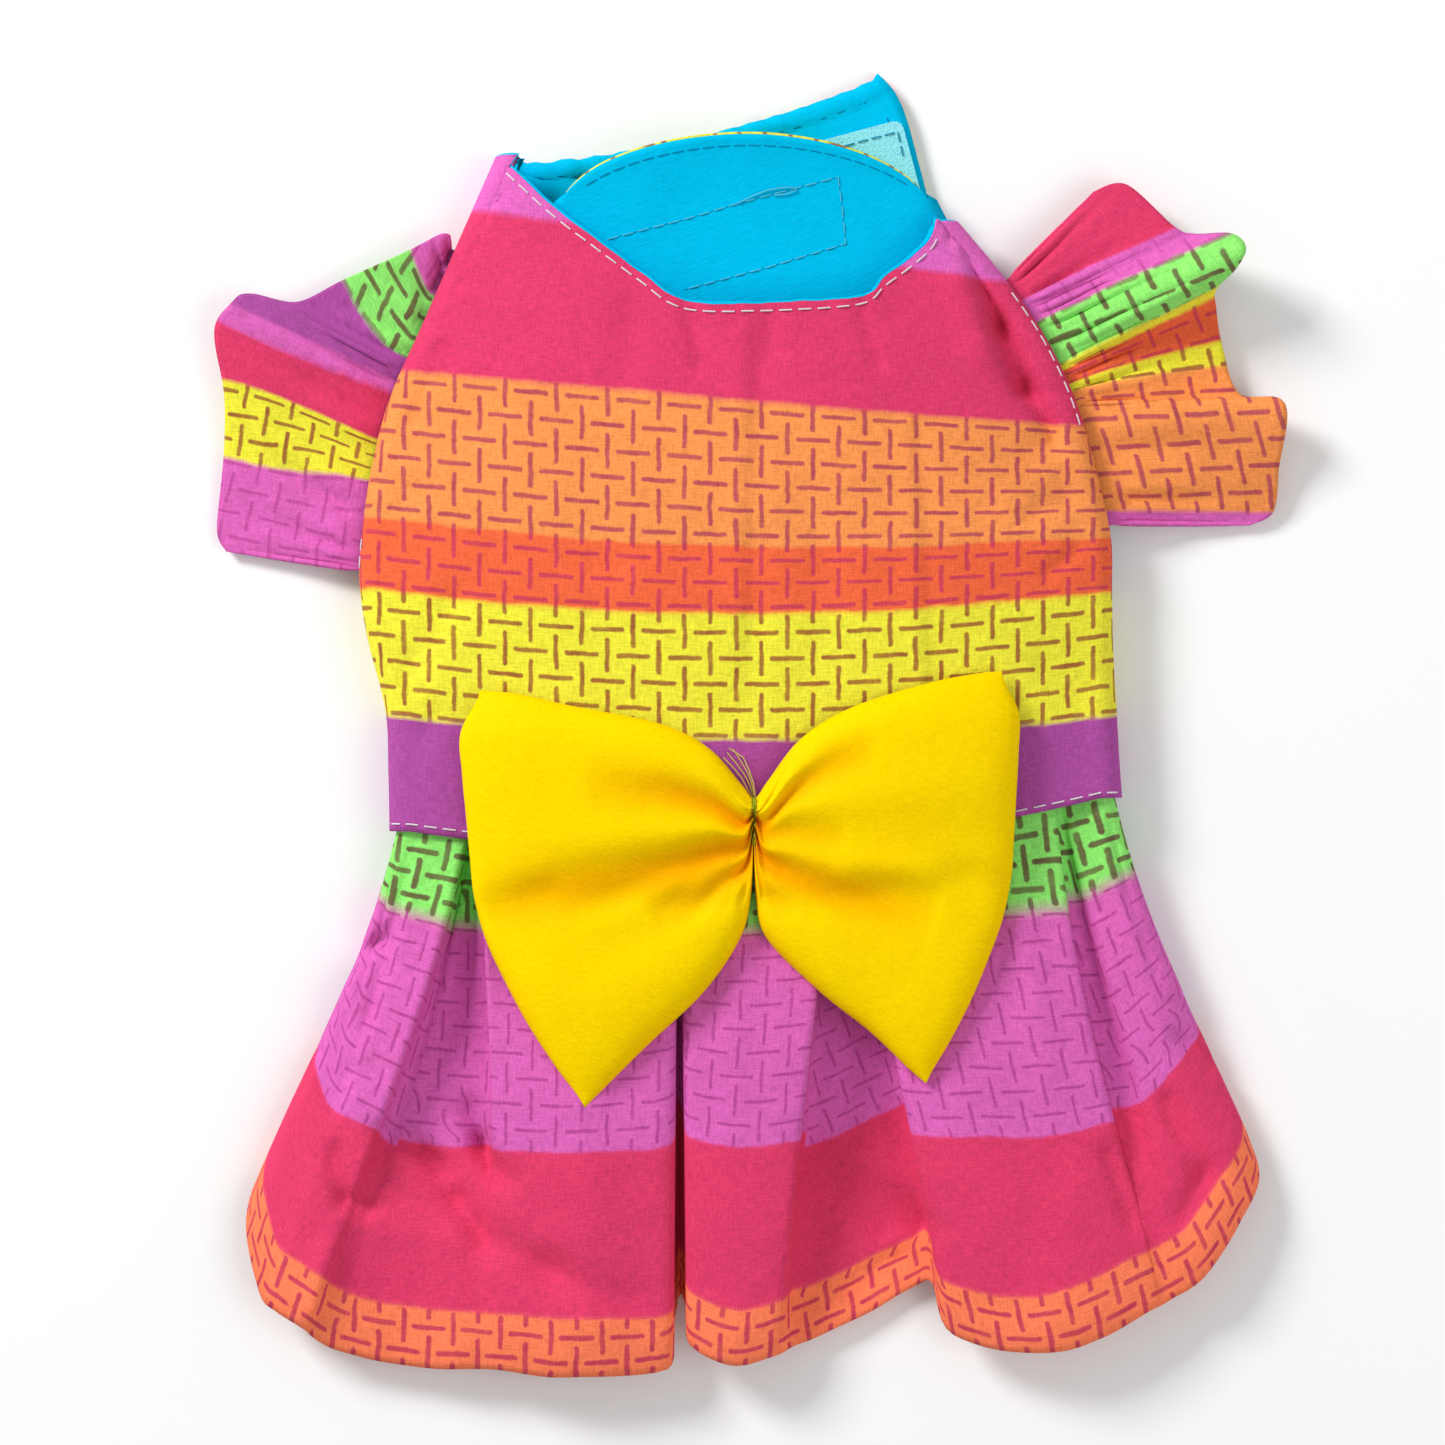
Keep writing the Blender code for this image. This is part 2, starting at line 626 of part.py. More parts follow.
def make_fasteners():
    """Hook and loop strips: one pair at the neck, and the closed pair under the belly."""
    level = LEFT_LEVEL + CLOTH / 2 + GAP + LINING + GAP + FASTENER / 2
    neck_strip("neck_hook_strip", NECK_HOOKS, level)
    neck_strip("neck_loop_strip", NECK_LOOPS, level + FASTENER + GAP)
    low, high = belly_flap(-1, 1, 0), belly_flap(-1, 1, BELLY_TOP)
    centre = (0, (low.y + high.y) / 2, LEFT_LEVEL + CLOTH / 2 + GAP + FASTENER / 2)
    made = strip("belly_fastener", BELLY_STRIP_LENGTH, BELLY_STRIP_WIDTH, FASTENER, centre, math.pi / 2)
    return paint(made, "hook_and_loop", PALE_BLUE, 0.8)


def tree_of(obj):
    """A search tree of an object's finished faces, in the garment's own frame."""
    graph = bpy.context.evaluated_depsgraph_get()
    built = bmesh.new()
    built.from_object(obj, graph)
    tree = BVHTree.FromBMesh(built)
    built.free()
    return tree


def height_under(trees, x, y, reach):
    """The highest cloth within reach of a point, seen from above."""
    best = 0.0
    for dx in (-1, -0.5, 0, 0.5, 1):
        for dy in (-1, -0.5, 0, 0.5, 1):
            for tree in trees:
                hit = tree.ray_cast(Vector((x + dx * reach, y + dy * reach, 1.0)), Vector((0, 0, -1)))[0]
                best = max(best, hit.z if hit else 0.0)
    return best


def crease_depth(at, q):
    """How deep the bow's creases are at a place, as a share of the fold depth."""
    middle = (len(BOW_SECTIONS) - 1) / 2
    run = abs(at - middle) / middle
    depth = 0.0
    for crease in CREASES:
        if (at - middle) * crease.side < 0:
            continue
        line = mix(crease.near, crease.far, ease(min(run / crease.reach, 1.0)))
        fade = max(0.0, 1 - run / crease.reach) ** 0.5
        depth += crease.depth * fade * math.exp(-(((q - line) / CREASE_WIDTH) ** 2))
    return depth


def bow_place(at, q):
    """(x, y, thickness) of the bow: at counts its sections, q runs from its lower edge up."""
    part = {name: through(column(BOW_SECTIONS, name), at) for name in BowSection._fields}
    out = through(BOW_EDGE, q * (len(BOW_EDGE) - 1))
    x = mix(part["low_x"], part["high_x"], q) + part["bulge"] * out
    y = mix(part["low_y"], part["high_y"], q)
    rounded = math.sqrt(max(0.0, 1 - (2 * q - 1) ** 6))
    thick = max(part["thick"], 0.2) * BOW_THICKNESS - crease_depth(at, q) * BOW_FOLD
    return x * BOW_WIDTH / 2 + BOW_OFFSET, y * BOW_HEIGHT, max(thick * rounded, BOW_THICKNESS / 8)


def make_bow(under):
    """The bow: a sewn pad of cloth pinched in the middle, with creases that run out of the pinch."""
    trees = [tree_of(obj) for obj in under]
    columns = (len(BOW_SECTIONS) - 1) * BOW_STEPS
    points = {}
    for i in range(columns + 1):
        for j in range(BOW_ROWS + 1):
            x, y, thick = bow_place(i / BOW_STEPS, j / BOW_ROWS)
            base = height_under(trees, x, y, BOW_SEARCH) + GAP
            points[("low", i, j)] = Vector((x, y, base))
            points[("high", i, j)] = Vector((x, y, base + thick))
    faces = []
    for i in range(columns):
        for j in range(BOW_ROWS):
            cell = [(i, j), (i + 1, j), (i + 1, j + 1), (i, j + 1)]
            faces.append([("high", *c) for c in cell])
            faces.append([("low", *c) for c in cell[::-1]])
    rim = [(i, 0) for i in range(columns)] + [(columns, j) for j in range(BOW_ROWS)]
    rim += [(i, BOW_ROWS) for i in range(columns, 0, -1)] + [(0, j) for j in range(BOW_ROWS, 0, -1)]
    for a, b in zip(rim, rim[1:] + rim[:1]):
        faces.append([("low", *a), ("low", *b), ("high", *b), ("high", *a)])
    bow = grid_object("bow", points, faces)
    bow.data.shade_smooth()
    return paint(bow, "bow_cloth", YELLOW, 0.6)


def make_thread(bow):
    """The thread sewn round the bow's pinch, lying over its top from edge to edge."""
    tree = tree_of(bow)
    middle = len(BOW_SECTIONS) // 2
    low, high = bow_place(middle, 0), bow_place(middle, 1)
    points = {}
    for j in range(THREAD_STEPS + 1):
        y = mix(low[1] + THREAD_WIDTH / 2, high[1] - THREAD_WIDTH / 2, j / THREAD_STEPS)
        for i in (-1, 0, 1):
            x = low[0] + i * THREAD_WIDTH / 2
            points[(i, j)] = Vector((x, y, height_under([tree], x, y, THREAD_WIDTH / 2) + GAP))
    faces = [
        [(i, j), (i + 1, j), (i + 1, j + 1), (i, j + 1)] for i in (-1, 0) for j in range(THREAD_STEPS)
    ]
    thread = grid_object("bow_thread", points, faces)
    wall = thread.modifiers.new("wall", "SOLIDIFY")
    wall.thickness = THREAD_THICKNESS
    wall.offset = 1.0
    return paint(thread, "bow_thread", OLIVE, 0.7)


def centre_dress():
    """Puts the middle of the whole garment's outline over the frame's origin."""
    graph = bpy.context.evaluated_depsgraph_get()
    corners = []
    for obj in dress.children:
        mesh = obj.evaluated_get(graph).data
        corners += [obj.matrix_world @ vertex.co for vertex in mesh.vertices]
    across = [corner.x for corner in corners]
    along = [corner.y for corner in corners]
    dress.location = (-(min(across) + max(across)) / 2, -(min(along) + max(along)) / 2, 0)


def main():
    bodice = make_bodice()
    make_lining()
    skirt = make_skirt()
    make_sleeve("sleeve_left", -1, LEFT_SLEEVE)
    make_sleeve("sleeve_right", 1, RIGHT_SLEEVE)
    make_fasteners()
    bpy.context.view_layer.update()
    bow = make_bow((bodice, skirt))
    make_thread(bow)
    bpy.context.view_layer.update()
    centre_dress()


for old in list(bpy.data.objects):
    bpy.data.objects.remove(old)
dress = bpy.data.objects.new("dress", None)
bpy.context.scene.collection.objects.link(dress)
main()
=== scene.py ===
"""The look of a small dog's striped dress: fine cloth, print, stitches and bow on its solids."""

import math
from collections import namedtuple
from functools import lru_cache

import bpy
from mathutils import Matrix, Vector, noise
from mathutils.bvhtree import BVHTree


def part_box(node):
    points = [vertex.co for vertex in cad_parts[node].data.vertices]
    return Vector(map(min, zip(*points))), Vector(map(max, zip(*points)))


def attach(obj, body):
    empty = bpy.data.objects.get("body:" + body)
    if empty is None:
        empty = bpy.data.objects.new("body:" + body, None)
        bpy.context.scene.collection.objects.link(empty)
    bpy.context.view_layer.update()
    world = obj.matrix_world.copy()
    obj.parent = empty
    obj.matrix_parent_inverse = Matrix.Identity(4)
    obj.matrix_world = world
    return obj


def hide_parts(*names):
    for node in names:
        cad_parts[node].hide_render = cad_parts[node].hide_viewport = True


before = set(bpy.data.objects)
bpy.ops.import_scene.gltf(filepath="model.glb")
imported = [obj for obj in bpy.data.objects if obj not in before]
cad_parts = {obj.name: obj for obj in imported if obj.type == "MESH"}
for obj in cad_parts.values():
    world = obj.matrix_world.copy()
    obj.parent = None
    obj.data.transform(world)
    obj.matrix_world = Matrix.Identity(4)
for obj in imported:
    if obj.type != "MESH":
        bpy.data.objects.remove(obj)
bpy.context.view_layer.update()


def rows_of(kind, *rows):
    """Rows of values, each made the given kind of named tuple."""
    return tuple(kind(*row) for row in rows)


# Cloth and clearances
CLOTH = 0.0012
LINING = 0.0010
FASTENER = 0.0010
GAP = 0.0003

# Bodice
BODICE_WIDTH = 0.161
BODICE_LENGTH = 0.112
SIDE_HEIGHT = 0.0125
BACK_HEIGHT = 0.0205
SIDE_ROLL = 0.0045
BELLY_OVERLAP = 0.024
STRAP_ARCH = 0.0210
STRAP_RISE = 0.0040
STRAP_CORNER = 0.0034

# Skirt
SKIRT_LENGTH = 0.1165
HEM_WIDTH = 0.220
HEM_LIFT = 0.0125
PLEAT_DROP = 0.0030
PLEAT_DEPTH = 0.0052
PLEAT_FLOOR = 0.0016
SKIRT_PUFF = 0.0010
WAIST_HOLD = 0.12
SEAM_TUCK = 0.004

# Sleeves
SLEEVE_REACH = 0.035
SLEEVE_LIFT = 0.016
SLEEVE_TUCK = 0.0025
SLEEVE_CLEARANCE = 0.0018

# Bow
BOW_WIDTH = 0.117
BOW_HEIGHT = 0.0935
BOW_THICKNESS = 0.0062
BOW_FOLD = 0.0032
CREASE_WIDTH = 0.075
BOW_OFFSET = 0.001

HALF = BODICE_WIDTH / 2

# The back, row by row from the waist to the neck. x is a share of half the bodice's width, y and
# sag of its length, left_z and right_z of the side height and back_z of the back height.
BackRow = namedtuple("BackRow", "left_x left_y right_x right_y sag left_z right_z back_z")
BACK_ROWS = rows_of(
    BackRow,
    (-0.956, -0.006, 0.994, 0.058, -0.064, 1.00, 1.00, 0.78),
    (-0.959, 0.106, 0.986, 0.140, -0.060, 1.00, 1.00, 0.84),
    (-0.967, 0.227, 0.980, 0.221, -0.057, 1.00, 1.00, 0.91),
    (-1.015, 0.365, 0.970, 0.346, -0.055, 1.00, 1.00, 0.97),
    (-1.036, 0.470, 0.967, 0.457, -0.055, 1.00, 1.00, 1.00),
    (-1.031, 0.557, 0.964, 0.557, -0.050, 1.00, 1.00, 1.00),
    (-1.007, 0.682, 0.929, 0.672, -0.035, 1.00, 1.00, 0.99),
    (-0.956, 0.825, 0.871, 0.816, -0.015, 0.98, 1.02, 0.96),
    (-0.868, 0.969, 0.788, 0.941, 0.000, 0.95, 1.05, 0.93),
    (-0.775, 1.123, 0.676, 1.056, 0.000, 0.92, 1.08, 0.90),
    (-0.673, 1.290, 0.556, 1.160, 0.000, 0.90, 1.10, 0.88),
)
BELLY_TOP = 4
ARM_TOP = 9
NECK_START = 6
NECK_END = len(BACK_ROWS) - 1

# The neckline from the left shoulder to the right one, in the same shares.
NeckPoint = namedtuple("NeckPoint", "x y")
NECKLINE = rows_of(
    NeckPoint,
    (-0.640, 1.270),
    (-0.508, 1.181),
    (-0.295, 1.065),
    (-0.168, 1.004),
    (0.053, 1.000),
    (0.299, 1.013),
    (0.361, 1.050),
    (0.470, 1.115),
    (0.500, 1.165),
)

# The neck straps' tips, in the same shares. An arch is how far an edge bows towards the neck.
StrapTip = namedtuple("StrapTip", "upper_x upper_y lower_x lower_y upper_arch lower_arch")
LEFT_STRAP_TIP = StrapTip(0.392, 1.460, 0.528, 1.100, -0.24, -0.25)
RIGHT_STRAP_TIP = StrapTip(-0.580, 1.135, -0.560, 0.860, 1.00, 0.10)

# The skirt's folds from the left edge to the right one. waist is a share of half the waist seam,
# where 1 is the side fold and more than 1 is round it. sink is a share of the pleat drop. hem_x is
# a share of half the hem's width, hem_y of the skirt's length and lift of the hem's height.
Fold = namedtuple("Fold", "waist sink hem_x hem_y lift")
SKIRT_FOLDS = rows_of(
    Fold,
    (-1.42, 0.0, -0.800, 0.655, 0.00),
    (-1.20, 0.0, -0.935, 0.632, 0.08),
    (-1.00, 0.0, -0.983, 0.725, 0.44),
    (-0.95, 0.0, -0.955, 0.855, 0.72),
    (-0.88, 0.0, -0.920, 0.890, 0.88),
    (-0.800, 0.0, -0.872, 0.918, 0.92),
    (-0.788, 0.5, -0.850, 0.940, 0.78),
    (-0.776, 1.0, -0.800, 0.968, 0.66),
    (-0.762, 1.0, -0.680, 0.993, 0.60),
    (-0.750, 0.5, -0.535, 1.000, 0.68),
    (-0.738, 0.0, -0.470, 1.001, 0.88),
    (-0.480, 0.0, -0.350, 1.008, 1.00),
    (-0.238, 0.0, -0.160, 1.000, 0.82),
    (-0.226, 0.5, -0.148, 0.925, 0.44),
    (-0.210, 1.0, -0.135, 0.870, 0.10),
    (-0.194, 0.5, -0.122, 0.890, 0.44),
    (-0.182, 0.0, -0.113, 0.952, 0.82),
    (0.010, 0.0, -0.032, 0.990, 0.98),
    (0.190, 0.0, 0.048, 0.975, 0.88),
    (0.202, 0.5, 0.088, 0.962, 0.56),
    (0.214, 1.0, 0.146, 0.945, 0.30),
    (0.270, 1.0, 0.315, 0.862, 0.22),
    (0.284, 0.5, 0.362, 0.846, 0.46),
    (0.296, 0.0, 0.402, 0.935, 0.80),
    (0.475, 0.0, 0.567, 0.967, 1.00),
    (0.680, 0.0, 0.690, 0.936, 1.00),
    (0.802, 0.0, 0.788, 0.888, 0.86),
    (0.816, 0.4, 0.806, 0.880, 0.78),
    (0.832, 0.8, 0.828, 0.868, 0.74),
    (0.876, 0.5, 0.890, 0.828, 0.80),
    (0.940, 0.0, 0.958, 0.730, 0.72),
    (1.00, 0.0, 1.000, 0.642, 0.42),
    (1.20, 0.0, 0.950, 0.555, 0.08),
    (1.42, 0.0, 0.815, 0.520, 0.00),
)

# The pleats between the skirt's panels. left and right are the folds at their edges, reach is how
# far down the skirt they run, as a share of its length, depth a share of the pleat depth, and hold
# how much the cloth is kept up at the edges, so that they stand out.
Pleat = namedtuple("Pleat", "left right reach depth hold")
PLEATS = rows_of(
    Pleat,
    (2.0, 4.0, 0.62, 0.40, 0.0),
    (5.0, 10.0, 0.74, 1.00, 0.85),
    (12.0, 16.0, 2.00, 0.35, 0.40),
    (18.0, 23.0, 1.00, 0.95, 0.85),
    (26.0, 29.0, 0.80, 0.70, 0.60),
)

# Each sleeve's folds from its lower end to its upper one. row is where the fold meets the leg
# hole's edge, counted in back rows. out is how far its free end stands outside the bodice's half
# width, as a share of the sleeve's reach, end_y is a share of the bodice's length and lift of the
# sleeve's height.
SleeveFold = namedtuple("SleeveFold", "row out end_y lift")
LEFT_SLEEVE = rows_of(
    SleeveFold,
    (4.31, 0.934, 0.534, 0.06),
    (4.55, 0.990, 0.578, 0.08),
    (5.10, 0.945, 0.716, 0.18),
    (5.90, 0.932, 0.833, 0.32),
    (6.70, 0.983, 0.956, 0.50),
    (7.17, 0.872, 1.008, 0.62),
    (7.35, 0.774, 1.025, 0.44),
    (7.55, 0.503, 1.014, 0.20),
    (7.95, 0.191, 1.058, 0.30),
    (8.50, -0.220, 1.113, 0.42),
    (8.80, -0.400, 1.142, 0.42),
    (8.93, -0.455, 1.142, 0.38),
)
RIGHT_SLEEVE = rows_of(
    SleeveFold,
    (5.23, 0.811, 0.585, 0.06),
    (5.45, 0.952, 0.612, 0.10),
    (6.00, 0.975, 0.695, 0.30),
    (6.84, 0.996, 0.814, 0.55),
    (6.98, 0.737, 0.835, 0.22),
    (7.18, 0.627, 0.929, 0.24),
    (7.36, 0.584, 1.002, 0.34),
    (7.50, 0.565, 1.036, 0.62),
    (7.68, 0.670, 1.071, 0.92),
    (7.95, 0.731, 1.106, 1.00),
    (8.20, 0.657, 1.134, 0.82),
    (8.38, 0.455, 1.140, 0.46),
    (8.55, 0.320, 1.158, 0.40),
    (8.80, 0.031, 1.238, 0.40),
    (8.94, -0.171, 1.225, 0.38),
)

# The bow's sections from the left end to the right one. low_x, high_x and bulge are shares of half
# its width, low_y and high_y of its height from the waist seam, thick of its thickness.
BowSection = namedtuple("BowSection", "low_x low_y high_x high_y bulge thick")
BOW_SECTIONS = rows_of(
    BowSection,
    (-0.616, -0.637, -0.995, 0.315, -0.22, 0.45),
    (-0.528, -0.582, -0.859, 0.308, -0.19, 0.85),
    (-0.382, -0.492, -0.657, 0.280, -0.14, 1.05),
    (-0.180, -0.372, -0.345, 0.241, -0.07, 1.10),
    (-0.048, -0.250, -0.165, 0.186, -0.03, 1.00),
    (-0.008, -0.150, -0.044, 0.103, -0.01, 0.90),
    (0.000, -0.032, 0.003, 0.071, 0.00, 0.75),
    (0.008, -0.150, 0.055, 0.113, 0.01, 0.90),
    (0.048, -0.250, 0.169, 0.204, 0.02, 1.00),
    (0.242, -0.372, 0.352, 0.276, 0.05, 1.10),
    (0.426, -0.464, 0.628, 0.331, 0.11, 1.05),
    (0.565, -0.547, 0.811, 0.354, 0.16, 0.85),
    (0.631, -0.582, 0.903, 0.359, 0.18, 0.45),
)

# How far the sections bow out from a straight line, from their lower end up, as shares of the
# bulge.
BOW_EDGE = (0.0, 0.32, 0.60, 0.80, 0.95, 0.97, 0.87, 0.76, 0.65, 0.50, 0.0)

# Valleys that run out of the bow's pinch: near and far are shares of the section's width from its
# lower edge, reach is how far they run towards the end and depth a share of the fold depth.
# Their depth also sets the painted shade in the bow's colour
Crease = namedtuple("Crease", "side near far reach depth")
CREASES = rows_of(
    Crease,
    (-1, 0.62, 0.76, 0.62, 1.0),
    (-1, 0.45, 0.47, 0.95, 1.0),
    (-1, 0.26, 0.33, 0.55, 0.9),
    (-1, 0.12, 0.18, 0.30, 0.5),
    (1, 0.58, 0.84, 0.55, 0.9),
    (1, 0.50, 0.54, 0.50, 0.7),
    (1, 0.34, 0.35, 0.72, 1.0),
    (1, 0.16, 0.20, 0.40, 0.6),
)


def through(values, at):
    """The value at a place in a list, on a smooth curve through all of it."""
    last = len(values) - 1
    at = min(max(at, 0.0), float(last))
    i = min(int(at), last - 1)
    f = at - i
    a, b = values[max(i - 1, 0)], values[i]
    c, d = values[i + 1], values[min(i + 2, last)]
    bend = (2 * a - 5 * b + 4 * c - d) * f * f + (3 * b - a - 3 * c + d) * f * f * f
    return 0.5 * (2 * b + (c - a) * f + bend)


@lru_cache(maxsize=None)
def column(rows, name):
    return [getattr(row, name) for row in rows]


def ease(t):
    return t * t * (3 - 2 * t)


def mix(a, b, t):
    return a + (b - a) * t


# Levels of the cloth's middle, from the surface up
LEFT_LEVEL = CLOTH / 2
RIGHT_STRAP_LEVEL = LEFT_LEVEL + CLOTH + LINING + 2 * FASTENER + 4 * GAP
RIGHT_BELLY_LEVEL = LEFT_LEVEL + CLOTH + FASTENER + 2 * GAP


@lru_cache(maxsize=None)
def back_edge(side, row):
    """(x, y, height of the cloth) of the back's side edge at a row; side is -1 on the left."""
    word = "left" if side < 0 else "right"
    x = through(column(BACK_ROWS, word + "_x"), row) * HALF
    y = through(column(BACK_ROWS, word + "_y"), row) * BODICE_LENGTH
    z = through(column(BACK_ROWS, word + "_z"), row) * SIDE_HEIGHT
    return x, y, z


@lru_cache(maxsize=None)
def under_level(side, row):
    """Height of the cloth's middle under the body: the right side closes over the left one."""
    if side < 0:
        return LEFT_LEVEL
    share = ease(min(max((row - BELLY_TOP) / (ARM_TOP - BELLY_TOP), 0.0), 1.0))
    return mix(RIGHT_BELLY_LEVEL, RIGHT_STRAP_LEVEL, share)


@lru_cache(maxsize=None)
def neckline(u):
    at = u * (len(NECKLINE) - 1)
    x = through(column(NECKLINE, "x"), at) * HALF
    y = through(column(NECKLINE, "y"), at) * BODICE_LENGTH
    return Vector((x, y))


def straight_row(u, row):
    """A point of the back's plan on a row that runs from side to side, with its sag."""
    left, right = back_edge(-1, row), back_edge(1, row)
    x = mix(left[0] + SIDE_ROLL, right[0] - SIDE_ROLL, u)
    sag = through(column(BACK_ROWS, "sag"), row) * BODICE_LENGTH
    return Vector((x, mix(left[1], right[1], u) + sag * 4 * u * (1 - u)))


def back_plan(u, row):
    """A point of the back's plan: u runs from the left roll to the right one."""
    if row <= NECK_START:
        return straight_row(u, row)
    t = (row - NECK_START) / (NECK_END - NECK_START)
    sides = mix(straight_row(0, row), straight_row(1, row), u)
    across = mix(straight_row(u, NECK_START), neckline(u), t)
    low = mix(straight_row(0, NECK_START), straight_row(1, NECK_START), u)
    high = mix(straight_row(0, NECK_END), straight_row(1, NECK_END), u)
    return sides + across - mix(low, high, t)


def back_point(u, row):
    """A point of the back's cloth, domed between its side rolls."""
    plan = back_plan(u, row)
    side = mix(back_edge(-1, row)[2], back_edge(1, row)[2], u)
    crown = through(column(BACK_ROWS, "back_z"), row) * BACK_HEIGHT
    dome = 1 - abs(2 * u - 1) ** 2.4
    return Vector((plan.x, plan.y, mix(side, crown, dome)))


def roll_point(side, turn, row):
    """A point of the side roll: turn is 0 on top, 1 at the fold and 2 underneath."""
    x, y, top = back_edge(side, row)
    low = under_level(side, row)
    angle = turn * math.pi / 2
    across = SIDE_ROLL * (1 - math.sin(angle))
    return Vector((x - side * across, y, mix(low, top, (1 + math.cos(angle)) / 2)))


def belly_flap(side, s, row):
    """A point of the belly flap: s is 0 at the roll and 1 at its free edge past the middle."""
    start = roll_point(side, 2, row)
    end_x = -side * BELLY_OVERLAP / 2
    return Vector((mix(start.x, end_x, s), start.y, start.z))


def strap(side, s, row):
    """A point of the neck strap: s is 0 at the roll and 1 at its tip."""
    start = roll_point(side, 2, row)
    tip = LEFT_STRAP_TIP if side < 0 else RIGHT_STRAP_TIP
    w = (NECK_END - row) / (NECK_END - ARM_TOP)
    end_x = mix(tip.upper_x, tip.lower_x, w) * HALF
    end_y = mix(tip.upper_y, tip.lower_y, w) * BODICE_LENGTH
    arch = mix(tip.upper_arch, tip.lower_arch, w) * STRAP_ARCH * math.sin(math.pi * s) ** 0.45
    rounding = STRAP_CORNER * (max(0.0, s - 0.8) / 0.2) ** 2 * (2 * w - 1) ** 4
    x = mix(start.x, end_x, s) + side * rounding
    rise = STRAP_RISE * max(side, 0) * (1 - w) ** 3 * math.sin(math.pi * s) ** 0.5
    y = mix(start.y, end_y, s) + arch - rounding / 2 * (1 - w)
    return Vector((x, y, start.z + rise))


def waist_point(share, row, sink):
    """A point of the skirt's top edge, inside the bodice's wall by the gap and the sink."""
    left, right = back_edge(-1, row), back_edge(1, row)
    inset = CLOTH + GAP + sink
    side = -1 if share < 0 else 1
    rolled = SIDE_ROLL / ((right[0] - left[0]) / 2)
    if abs(share) <= 1 - rolled:
        point = back_point((share / (1 - rolled) + 1) / 2, row)
        return point - Vector((0, 0, inset))
    turn = (abs(share) - (1 - rolled)) / rolled if abs(share) <= 1 else 1 + (abs(share) - 1) * 2
    point = roll_point(side, turn, row)
    angle = turn * math.pi / 2
    return point - Vector((side * math.sin(angle), 0, math.cos(angle))) * inset


def plain_skirt_point(at, v):
    """A point of the skirt without its pleats: at counts the folds, v runs from waist to hem.

    v is below 0 where the cloth is tucked in behind the waist seam.
    """
    fold = {name: through(column(SKIRT_FOLDS, name), at) for name in Fold._fields}
    sink = fold["sink"] * PLEAT_DROP
    if v < 0:
        row = SEAM_TUCK / BODICE_LENGTH / (BACK_ROWS[1].left_y - BACK_ROWS[0].left_y)
        return waist_point(fold["waist"], row, sink)
    top = waist_point(fold["waist"], 0, sink) - Vector((0, GAP, 0))
    hem_z = CLOTH / 2 + max(fold["lift"], 0.0) * HEM_LIFT
    hem = Vector((fold["hem_x"] * HEM_WIDTH / 2, -fold["hem_y"] * SKIRT_LENGTH, hem_z))
    point = mix(top, hem, v)
    point.x = mix(top.x, hem.x, v - WAIST_HOLD * math.sin(math.pi * v) * (1 - v))
    point.z += SKIRT_PUFF * math.sin(math.pi * v) * fold["lift"]
    return point


def skirt_point(at, v):
    """A point of the skirt, with the pleats between its panels sunk and their edges held up."""
    point = plain_skirt_point(at, v)
    for pleat in PLEATS:
        if v <= 0 or not pleat.left < at < pleat.right:
            continue
        spread = math.sin(math.pi * min(v / pleat.reach, 1.0)) ** 0.7
        near = pleat.left if at - pleat.left < pleat.right - at else pleat.right
        inside = abs(at - near) / ((pleat.right - pleat.left) / 2)
        hold = pleat.hold * spread * (1 - ease(min(max(inside - 0.35, 0.0) / 0.65, 1.0)))
        point.x = mix(point.x, plain_skirt_point(near, v).x, hold)
        sunk = point.z - pleat.depth * PLEAT_DEPTH * spread * ease(min(inside / 0.6, 1.0))
        point.z = max(sunk, min(point.z, PLEAT_FLOOR))
    return point


def sleeve_point(side, table, at, t):
    """A point of a sleeve: at counts its folds from below, t runs from the leg hole to the end.

    t is below 0 where the cloth is tucked in under the leg hole's edge.
    """
    fold = {name: through(column(table, name), at) for name in SleeveFold._fields}
    seam = roll_point(side, 1, fold["row"])
    along = roll_point(side, 1, fold["row"] + 0.1) - roll_point(side, 1, fold["row"] - 0.1)
    outward = Vector((along.y, -along.x, 0)).normalized() * side
    seam -= Vector((0, 0, CLOTH + 2 * GAP))
    if t < 0:
        return seam - outward * SLEEVE_TUCK
    start = seam + outward * SLEEVE_CLEARANCE
    end_x = side * (HALF + fold["out"] * SLEEVE_REACH)
    end = Vector((end_x, fold["end_y"] * BODICE_LENGTH, CLOTH / 2 + fold["lift"] * SLEEVE_LIFT))
    point = mix(start, end, t)
    point.z = mix(start.z, end.z, math.sin(t * math.pi / 2))
    return point


def height_under(trees, x, y, reach):
    """The highest cloth within reach of a point, seen from above."""
    best = 0.0
    for dx in (-1, -0.5, 0, 0.5, 1):
        for dy in (-1, -0.5, 0, 0.5, 1):
            start = Vector((x + dx * reach, y + dy * reach, 1.0))
            for tree in trees:
                hit = tree.ray_cast(start, Vector((0, 0, -1)))[0]
                best = max(best, hit.z if hit else 0.0)
    return best


def crease_depth(at, q):
    """How deep the bow's creases are at a place, as a share of the fold depth."""
    middle = (len(BOW_SECTIONS) - 1) / 2
    run = abs(at - middle) / middle
    depth = 0.0
    for crease in CREASES:
        if (at - middle) * crease.side < 0:
            continue
        line = mix(crease.near, crease.far, ease(min(run / crease.reach, 1.0)))
        fade = max(0.0, 1 - run / crease.reach) ** 0.5
        depth += crease.depth * fade * math.exp(-(((q - line) / CREASE_WIDTH) ** 2))
    return depth


